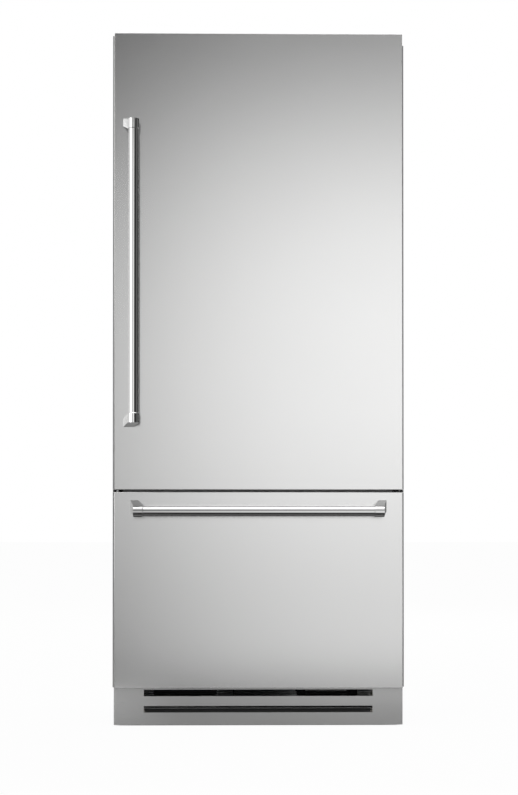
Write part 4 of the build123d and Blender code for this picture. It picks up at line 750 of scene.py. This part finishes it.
def joined(node):
    """A bmesh of a solid, with its triangles merged and its flat faces whole again."""
    shape = bmesh.new()
    shape.from_mesh(nodes[node].data)
    bmesh.ops.remove_doubles(shape, verts=shape.verts, dist=SAME_POINT)
    bmesh.ops.dissolve_limit(shape, angle_limit=FLAT_BELOW, verts=shape.verts, edges=shape.edges, delimit={"NORMAL"})
    return shape


def sharp_edges(shape, least_face=0.0):
    """Edges where two faces meet at a clear angle, both of at least some area."""
    found = []
    for edge in shape.edges:
        if len(edge.link_faces) == 2 and edge.calc_face_angle() > SHARP_ABOVE:
            if min(face.calc_area() for face in edge.link_faces) >= least_face:
                found.append(edge)
    return found


def round_edges(shape, edges, radius, segments=2, clamp=False):
    """Bevel some edges of a shape."""
    bmesh.ops.bevel(
        shape,
        geom=edges,
        offset=radius,
        offset_type="OFFSET",
        affect="EDGES",
        segments=segments,
        profile=0.5,
        material=-1,
        clamp_overlap=clamp,
    )


def rounded(node, radius, segments=2, least_face=0.0):
    """A copy of a solid with its edges rounded, standing for the solid."""
    shape = joined(node)
    round_edges(shape, sharp_edges(shape, least_face), radius, segments, clamp=True)
    return even_normals(stand_in(shape, node, "rounded"))


ROUNDED = {
    "door_handle_brackets": 0.0012,
    "drawer_handle_brackets": 0.0012,
    "door_bins": 0.0009,
    "crispers": 0.0009,
    "freezer_bin": 0.0009,
    "freezer_tray": 0.0009,
    "air_duct": 0.002,
    "control_panel": 0.003,
    "light_strips": 0.0015,
    "shelf_frames": 0.001,
    "crisper_deck": 0.001,
    "upper_hinge": 0.0005,
    "lower_hinge": 0.0005,
    "hinge_blank": 0.0005,
    "power_inlet": 0.0008,
    "control_box": 0.0015,
    "drain_pan": 0.001,
    "side_arms": 0.0003,
    "roller_brackets": 0.0004,
    "kick_louvre": 0.0003,
    "shelf_glass": 0.0008,
    "evaporator_cover": 0.0008,
    "shelf_uprights": 0.0004,
}
for node, radius in ROUNDED.items():
    piece = rounded(node, radius)
    print(f"{node}: {len(piece.data.polygons)} faces")

# %% [markdown]
# ## Liners with soft corners
# A liner is one sheet drawn over a mould, so its large corners are round while its rim stays thin. The same rounding
# is used here, but only where two large faces meet, which leaves the rim and the small openings as they are.

# %% Round the liners and the wrapper
LINER_STEPS = 4
SOFT_CORNERS = {
    "fridge_liner": (0.006, 0.05),
    "freezer_liner": (0.006, 0.05),
    "door_liner": (0.003, 0.004),
    "drawer_liner": (0.003, 0.004),
    "cabinet_wrapper": (0.0007, 0.3),
}
for node, (radius, least_face) in SOFT_CORNERS.items():
    piece = rounded(node, radius, LINER_STEPS, least_face)
    print(f"{node}: {len(piece.data.polygons)} faces")

# %% [markdown]
# ## Folded fronts and the toe kick
# The fronts are pans of thin sheet. Good ones are grooved before they are bent, so their folds are tighter than a
# plain bend, and only a hair of light runs along the edge. A box without a back gets its front edges bevelled, each
# large face gets a narrow margin so that smooth shading stays in the fold, and solidify gives the sheet its thickness.
# The toe kick is bent without a groove, so its two upright folds are rounder.

# %% Fold the fronts
PAN_SHEET = 0.0012
PAN_FOLD = 0.0008
PAN_MARGIN = 0.0006
FOLD_STEPS = 3
LARGE_FACE = 0.01


def add_block(shape, middle, size):
    """Add a box to a bmesh."""
    made = bmesh.ops.create_cube(shape, size=1.0)["verts"]
    bmesh.ops.transform(shape, matrix=Matrix.Translation(middle) @ Matrix.Diagonal((*size, 1.0)), verts=made)


def folded_pan(node):
    """A pan of thin sheet with tight folds, in the place of a front skin."""
    low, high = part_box(node)
    shape = bmesh.new()
    add_block(shape, (low + high) / 2, high - low)
    back = [face for face in shape.faces if face.calc_center_median().y > high.y - PAN_SHEET]
    bmesh.ops.delete(shape, geom=back, context="FACES_ONLY")
    front = [edge for edge in shape.edges if max(v.co.y for v in edge.verts) < low.y + PAN_SHEET]
    round_edges(shape, front, PAN_FOLD, FOLD_STEPS)
    large = [face for face in shape.faces if face.calc_area() > LARGE_FACE]
    bmesh.ops.inset_individual(shape, faces=large, thickness=PAN_MARGIN)
    bmesh.ops.solidify(shape, geom=shape.faces[:], thickness=PAN_SHEET)
    return stand_in(shape, node, "folded")


for node in ("door_skin", "drawer_skin"):
    piece = folded_pan(node)
    print(f"{piece.name}: {len(piece.data.polygons)} faces")

# %% Fold the toe kick
KICK_FOLD = 0.0025
low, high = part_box("toe_kick")
shape = joined("toe_kick")
ends = [
    edge
    for edge in shape.edges
    if all(abs(v.co.x) > high.x - PAN_SHEET / 2 and v.co.y < low.y + PAN_SHEET / 2 for v in edge.verts)
    and abs(edge.verts[0].co.x - edge.verts[1].co.x) < PAN_SHEET
]
round_edges(shape, ends, KICK_FOLD, FOLD_STEPS)
piece = even_normals(stand_in(shape, "toe_kick", "folded"))
print(f"{piece.name}: {len(ends)} folds, {len(piece.data.polygons)} faces")

# %% [markdown]
# ## End caps of the gap
# Both plates in the gap between door and drawer end in a small black cap that sits on the plate's leaf and closes the
# gap at the side of the cabinet. Each is a block with its edges rounded.

# %% Two caps
CAP_DEEP = 0.0365
CAP_TALL = 0.0056
CAP_EDGE = 0.0005
LEAF_SHEET = 0.0025
CAPS = {"lower_hinge": (1, 0.0052), "hinge_blank": (-1, 0.0085)}
cap_black = moulded("cap_black", (0.012, 0.012, 0.0125), 0.6)
gap_middle = (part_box("drawer_skin")[1].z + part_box("door_skin")[0].z) / 2
cap_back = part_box("front_frame")[0].y - LEAF_SHEET
cap_outer = cad_box[1].x - CAP_EDGE
for node, (side, width) in CAPS.items():
    middle = Vector((side * (cap_outer - width / 2), cap_back - CAP_DEEP / 2, gap_middle))
    shape = bmesh.new()
    add_block(shape, middle, (width, CAP_DEEP, CAP_TALL))
    round_edges(shape, shape.edges[:], CAP_EDGE, FOLD_STEPS)
    cap = even_normals(settle(shape, f"{node}_cap", cap_black, "cabinet", slots["kick_louvre"]))
    print(f"{cap.name}: {width * 1000:.1f} mm wide")

# %% [markdown]
# ## Magnetic seals
# A refrigerator seal is an extruded bellows: a foot that clips into the door, folds that give, a wiping lip and a
# square pocket with the magnet. It is cut at 45 degrees and welded at the corners. The same happens here: one profile
# stands at each mitre, and bridging the four loops makes the frame in one go.

# %% Bellows seals
SEAL_PROFILE = (
    (2.0, 0.0),
    (0.8, 1.2),
    (3.2, 2.6),
    (1.2, 4.2),
    (5.0, 6.2),
    (0.0, 8.0),
    (0.0, 8.7),
    (5.0, 7.4),
    (5.0, 11.7),
    (17.6, 11.7),
    (17.6, 7.6),
    (15.0, 6.2),
    (17.2, 4.4),
    (14.8, 2.8),
    (16.6, 1.2),
    (16.0, 0.0),
)
MITRES = ((1, 1), (-1, 1), (-1, -1), (1, -1))
SEAL_EDGE = 0.0003
MM = 0.001


def bellows_seal(node):
    """A mitred frame of seal profile in the place of a plain gasket."""
    low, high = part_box(node)
    middle = (low + high) / 2
    half = (high - low) / 2
    shape = bmesh.new()
    loops = []
    for side, up in MITRES:
        points = [shape.verts.new((inset * MM, depth * MM, 0.0)) for inset, depth in SEAL_PROFILE]
        loops.append([shape.edges.new(pair) for pair in zip(points, points[1:] + points[:1])])
        along_x = (-side, 0, 0, side * half.x)
        along_y = (0, 1, 0, low.y)
        along_z = (-up, 0, 0, middle.z + up * half.z)
        bmesh.ops.transform(shape, matrix=Matrix((along_x, along_y, along_z, (0, 0, 0, 1))), verts=points)
    for one, two in zip(loops, loops[1:] + loops[:1]):
        bmesh.ops.bridge_loops(shape, edges=one + two)
    bmesh.ops.recalc_face_normals(shape, faces=shape.faces)
    round_edges(shape, sharp_edges(shape), SEAL_EDGE)
    return stand_in(shape, node, "bellows")


for node in ("door_gasket", "drawer_gasket"):
    print(f"{node}: {len(bellows_seal(node).data.polygons)} faces")

# %% [markdown]
# ## Screws
# Sheet and hinges are held by cross-recess screws. A head starts as a grid of nine faces. The five that form a cross
# are extruded downwards, and the edge of the grid is drawn out to a round rim in three steps.

# %% Cross-recess heads
RECESS_WIDE = 0.45
RECESS_DEEP = 0.75
ON_CROSS = 0.05
RIM_STEPS = ((0.9, 0.25), (1.0, 0.6), (1.0, 1.0))


def closed(shape):
    """Close what is open at the back of a piece, and point its faces outwards."""
    bmesh.ops.holes_fill(shape, edges=[edge for edge in shape.edges if edge.is_boundary], sides=0)
    bmesh.ops.recalc_face_normals(shape, faces=shape.faces)
    return shape


def screw_head(shape, place, radius, height):
    """Add one head to a bmesh, with the side that shows along the Z of its place."""
    grid = bmesh.ops.create_grid(shape, x_segments=3, y_segments=3, size=RECESS_WIDE * radius)["verts"]
    faces = {face for vert in grid for face in vert.link_faces}
    rim = [edge for edge in {edge for face in faces for edge in face.edges} if edge.is_boundary]
    middles = {face: face.calc_center_median() for face in faces}
    cross = [face for face, middle in middles.items() if min(abs(middle.x), abs(middle.y)) < ON_CROSS * radius]
    sunk = bmesh.ops.extrude_face_region(shape, geom=cross)["geom"]
    floor_verts = [item for item in sunk if isinstance(item, bmesh.types.BMVert)]
    bmesh.ops.translate(shape, verts=floor_verts, vec=(0, 0, -RECESS_DEEP * height))
    bmesh.ops.delete(shape, geom=cross, context="FACES")
    every = grid + floor_verts
    for share, drop in RIM_STEPS:
        drawn = bmesh.ops.extrude_edge_only(shape, edges=rim)["geom"]
        rim = [item for item in drawn if isinstance(item, bmesh.types.BMEdge)]
        ring = [item for item in drawn if isinstance(item, bmesh.types.BMVert)]
        for vert in ring:
            vert.co = vert.co.xy.normalized().to_3d() * share * radius - Vector((0, 0, drop * height))
        every += ring
    bmesh.ops.translate(shape, verts=every, vec=(0, 0, height))
    bmesh.ops.transform(shape, matrix=place, verts=every)


def screws(name, places, radius, height, finish, *replaced):
    """A set of heads on the cabinet as one piece."""
    shape = bmesh.new()
    for place in places:
        screw_head(shape, place, radius, height)
    return settle(closed(shape), name, finish, "cabinet", "zinc", *replaced)


print(f"a head has a recess {RECESS_DEEP:.0%} as deep as it is high")

# %% Screws of the rear cover
REAR = Matrix.Rotation(-math.pi / 2, 4, "X")
COVER_HEAD = 0.004
low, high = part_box("rear_cover_screws")
cover_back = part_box("rear_cover")[1].y
cover_places = [
    Matrix.Translation((x, cover_back, z)) @ REAR
    for x in (low.x + COVER_HEAD, 0.0, high.x - COVER_HEAD)
    for z in (low.z + COVER_HEAD, high.z - COVER_HEAD)
]
screws("cover_screws", cover_places, COVER_HEAD, high.y - cover_back, hinge_zinc, "rear_cover_screws")
print(f"{len(cover_places)} cover screws")

# %% Screws of the hinges
SHEET_HEAD = 0.0042
LEAF_HEAD = 0.0004
LEAF_SCREWS = {
    "upper_hinge": ((0.4275, 2.1235), (0.441, 2.1235)),
    "lower_hinge": ((0.437, 0.7125), (0.437, 0.7375)),
    "hinge_blank": ((-0.437, 0.7125), (-0.437, 0.7375)),
}
leaf_places = []
for node, spots in LEAF_SCREWS.items():
    leaf_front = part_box(node)[1].y - LEAF_SHEET
    leaf_places += [Matrix.Translation((x, leaf_front, z)) @ UPRIGHT for x, z in spots]
screws("hinge_screws", leaf_places, SHEET_HEAD, LEAF_HEAD, hinge_zinc)
print(f"{len(leaf_places)} hinge screws")

# %% [markdown]
# ## Pressed back panel
# A large thin sheet rattles unless it is pressed. The back has a shallow field inside a flat border, with upright
# swages in it. Insetting the rear face twice makes the border and the slope, so the sheet stays one piece. The swages
# are grids drawn out the same way, and screws hold the border of the field.

# %% Field of the back
PRESSED = 0.0006
BORDER = 0.018
BORDER_SLOPE = 0.0025
FACING = 0.99
shape = joined("back_panel")
rear_face = max((face for face in shape.faces if face.normal.y > FACING), key=lambda face: face.calc_area())
bmesh.ops.inset_region(shape, faces=[rear_face], thickness=BORDER, depth=0.0, use_even_offset=True)
bmesh.ops.inset_region(shape, faces=[rear_face], thickness=BORDER_SLOPE, depth=-PRESSED, use_even_offset=True)
back = settle(shape, "back_panel_pressed", galvanised, "cabinet", "galvanised", "back_panel")
print(f"back with {len(back.data.polygons)} faces")

# %% Swages
SWAGE_SIZE = (0.11, 1.5)
SWAGE_MIDDLE = 1.25
SWAGE_STEP = 0.28
SWAGE_CORNER = 0.05
SWAGE_SLOPE = 0.003
SWAGE_HIGH = PRESSED * 0.85
HAIR = 0.00002
BACK = cad_box[1].y


def round_corners(shape, radius, segments):
    """Bevel the corners of flat sheets."""
    bmesh.ops.bevel(
        shape, geom=list(shape.verts), offset=radius, affect="VERTICES", segments=segments, profile=0.5, material=-1
    )


shape = bmesh.new()
for step in (-1, 0, 1):
    made = bmesh.ops.create_grid(shape, x_segments=1, y_segments=1, size=0.5)["verts"]
    spot = Matrix.Translation((step * SWAGE_STEP, BACK - PRESSED + HAIR, SWAGE_MIDDLE))
    bmesh.ops.transform(shape, matrix=spot @ REAR @ Matrix.Diagonal((*SWAGE_SIZE, 1.0, 1.0)), verts=made)
round_corners(shape, SWAGE_CORNER, 8)
bmesh.ops.inset_individual(shape, faces=shape.faces, thickness=SWAGE_SLOPE, depth=SWAGE_HIGH, use_even_offset=True)
swages = settle(closed(shape), "back_swages", galvanised, "cabinet", "galvanised")
print(f"swages with {len(swages.data.polygons)} faces")

# %% Screws of the back
BACK_HEAD = PRESSED * 0.9
FIELD_EDGE = 0.03
SIDE_SCREWS = [0.42 + 0.21 * step for step in range(9)]
TOP_SCREWS = (-0.2, 0.0, 0.2)
field_x = cad_box[1].x - FIELD_EDGE
field_top = cad_box[1].z - FIELD_EDGE
spots = [(side * field_x, z) for side in (-1, 1) for z in SIDE_SCREWS] + [(x, field_top) for x in TOP_SCREWS]
back_places = [Matrix.Translation((x, BACK - PRESSED, z)) @ REAR for x, z in spots]
screws("back_screws", back_places, SHEET_HEAD, BACK_HEAD, hinge_zinc)
print(f"{len(back_places)} screws hold the back")

# %% [markdown]
# ## Pins of the inlet
# A mains inlet is a deep socket with three flat pins, the middle one set higher. Each pin is a cube stretched to its
# size, with rounded edges, standing on the floor of the socket.

# %% Three flat pins
PIN = (0.0042, 0.0135, 0.002)
PIN_STEP = 0.0075
PIN_LIFTS = {-1: -0.002, 0: 0.0025, 1: -0.002}
PIN_INSIDE = 0.0105
PIN_EDGE = 0.0004
low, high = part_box("power_inlet")
middle = (low + high) / 2
shape = bmesh.new()
for step, lift in PIN_LIFTS.items():
    add_block(shape, Vector((middle.x + step * PIN_STEP, high.y - PIN_INSIDE, middle.z + lift)), PIN)
round_edges(shape, list(shape.edges), PIN_EDGE)
settle(shape, "inlet_pins", hinge_zinc, "cabinet", "zinc")
print("three pins in the inlet")

# %% [markdown]
# ## Touch keys and display
# The console under the ceiling slopes back towards the bottom, so that it can be read from below. Its keys are
# shallow round pads, and beside them lies the window of the display. Both are drawn flat and laid on the slope.

# %% Keys on the console
KEYS = 5
KEY_SIDES = 32
KEY_RADIUS = 0.0055
KEY_START = -0.02
KEY_STEP = 0.026
KEY_DISH = {"thickness": 0.0009, "depth": -0.0003}
RAISED = {"thickness": 0.0007, "depth": 0.0004}
CLEAR_OF_PANEL = 0.0001
SLOPE_BACK = 0.012
low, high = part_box("control_panel")
tilt = math.atan2(SLOPE_BACK, high.z - low.z)
panel_middle = Matrix.Translation((0.0, low.y + SLOPE_BACK / 2, (low.z + high.z) / 2))
slope = panel_middle @ Matrix.Rotation(math.pi / 2 + tilt, 4, "X")

key_white, place = start_finish("key_white", (0.55, 0.56, 0.57), 0.4)
feed(key_white, "Roughness", 0.34 + 0.12 * noise(place, 400.0))
shape = bmesh.new()
for step in range(KEYS):
    lay = slope @ Matrix.Translation((KEY_START + step * KEY_STEP, 0.0, CLEAR_OF_PANEL))
    bmesh.ops.create_circle(shape, cap_ends=True, segments=KEY_SIDES, radius=KEY_RADIUS, matrix=lay)
bmesh.ops.inset_individual(shape, faces=shape.faces, **RAISED)
bmesh.ops.inset_individual(shape, faces=[face for face in shape.faces if len(face.verts) > 4], **KEY_DISH)
settle(closed(shape), "console_keys", key_white, "cabinet", "console")
print(f"{KEYS} keys on the console")

# %% Window of the display
WINDOW_SIZE = (0.07, 0.014)
WINDOW_X = -0.085
WINDOW_CORNER = 0.003
window, place = start_finish("display_window", (0.01, 0.012, 0.014), 0.05, 0.0, {"Coat Weight": 1.0})
feed(window, "Roughness", 0.03 + 0.05 * noise(place, 60.0, 4.0))
shape = bmesh.new()
lay = slope @ Matrix.Translation((WINDOW_X, 0.0, CLEAR_OF_PANEL)) @ Matrix.Diagonal((*WINDOW_SIZE, 1.0, 1.0))
bmesh.ops.create_grid(shape, x_segments=1, y_segments=1, size=0.5, matrix=lay)
round_corners(shape, WINDOW_CORNER, 5)
bmesh.ops.inset_individual(shape, faces=shape.faces, **RAISED)
settle(closed(shape), "console_window", window, "cabinet", "console")
print(f"a window {WINDOW_SIZE[0] * 1000:.0f} mm wide beside the keys")

# %% [markdown]
# ## Levelling feet and rear rollers
# Both are turned parts, so each starts as half a profile and is spun round its axis. The foot has a domed pad, a nut to
# turn it by and a threaded stud. The roller is a moulded wheel with a groove in its tread and a thinner web at its hub.

# %% Spin a profile
def spun(profile, centre, axis, steps):
    """A bmesh of a profile of points spun all the way round an axis."""
    shape = bmesh.new()
    points = [shape.verts.new(point) for point in profile]
    edges = [shape.edges.new(pair) for pair in zip(points, points[1:])]
    bmesh.ops.spin(shape, geom=points + edges, cent=centre, axis=axis, angle=2 * math.pi, steps=steps, use_merge=True)
    bmesh.ops.remove_doubles(shape, verts=shape.verts, dist=SAME_POINT)
    bmesh.ops.recalc_face_normals(shape, faces=shape.faces)
    return shape


print("profiles can be spun")

# %% Feet
FOOT_STEPS = 36
FOOT_PROFILE = (
    (0.0, 0.0), (0.018, 0.0), (0.0205, 0.0008), (0.0218, 0.0022), (0.022, 0.004), (0.022, 0.0072), (0.0212, 0.0088),
    (0.0195, 0.0098), (0.012, 0.010), (0.0105, 0.0104), (0.0062, 0.0104), (0.0058, 0.019),
)
THREAD_PITCH = 0.0015
THREAD_CREST = (0.4 * THREAD_PITCH, 0.6 * THREAD_PITCH)
THREAD_START = 0.020
THREAD_CLEAR = 0.021
STUD = 0.006
STUD_DEEP = 0.0054
STUD_TIP = 0.0008
STUD_CHAMFER = 0.001
NUT_RADIUS = 0.0115
NUT_TALL = 0.008
NUT_MIDDLE = 0.0145
NUT_EDGE = 0.0006
for node in ("foot_left", "foot_right"):
    low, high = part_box(node)
    middle = (low + high) / 2
    outline = list(FOOT_PROFILE)
    threads = int((high.z - THREAD_CLEAR) / THREAD_PITCH)
    for turn in range(threads):
        start = THREAD_START + turn * THREAD_PITCH
        outline += [(STUD_DEEP, start)] + [(STUD, start + crest) for crest in THREAD_CREST]
    outline += [(STUD_DEEP, high.z - STUD_TIP), (STUD_DEEP - STUD_CHAMFER, high.z), (0.0, high.z)]
    shape = spun([(middle.x + r, middle.y, z) for r, z in outline], (middle.x, middle.y, 0), (0, 0, 1), FOOT_STEPS)
    nut = Matrix.Translation((middle.x, middle.y, NUT_MIDDLE))
    made = bmesh.ops.create_cone(
        shape, cap_ends=True, segments=6, radius1=NUT_RADIUS, radius2=NUT_RADIUS, depth=NUT_TALL, matrix=nut
    )["verts"]
    round_edges(shape, list({edge for vert in made for edge in vert.link_edges}), NUT_EDGE)
    piece = stand_in(shape, node, "turned")
    print(f"{node}: {threads} threads, {len(piece.data.polygons)} faces")

# %% Rollers
ROLLER_STEPS = 48
for node in ("roller_left", "roller_right"):
    low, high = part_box(node)
    middle = (low + high) / 2
    radius = (high.z - low.z) / 2
    half = (high.x - low.x) / 2
    side = (
        (-half, 0.0043), (-half, 0.0078), (-half + 0.0006, 0.0086), (-half + 0.0026, 0.0092), (-half + 0.003, 0.0165),
        (-half + 0.0012, 0.0178), (-half, 0.0186), (-half, radius - 0.0018), (-half + 0.0018, radius),
        (-0.0032, radius), (-0.0026, radius - 0.0009), (-0.0014, radius - 0.0012),
    )
    outline = list(side) + [(-x, r) for x, r in reversed(side)] + [side[0]]
    points = [(middle.x + x, middle.y, middle.z + r) for x, r in outline]
    shape = spun(points, middle, (1, 0, 0), ROLLER_STEPS)
    piece = stand_in(shape, node, "turned")
    print(f"{node}: {len(piece.data.polygons)} faces")
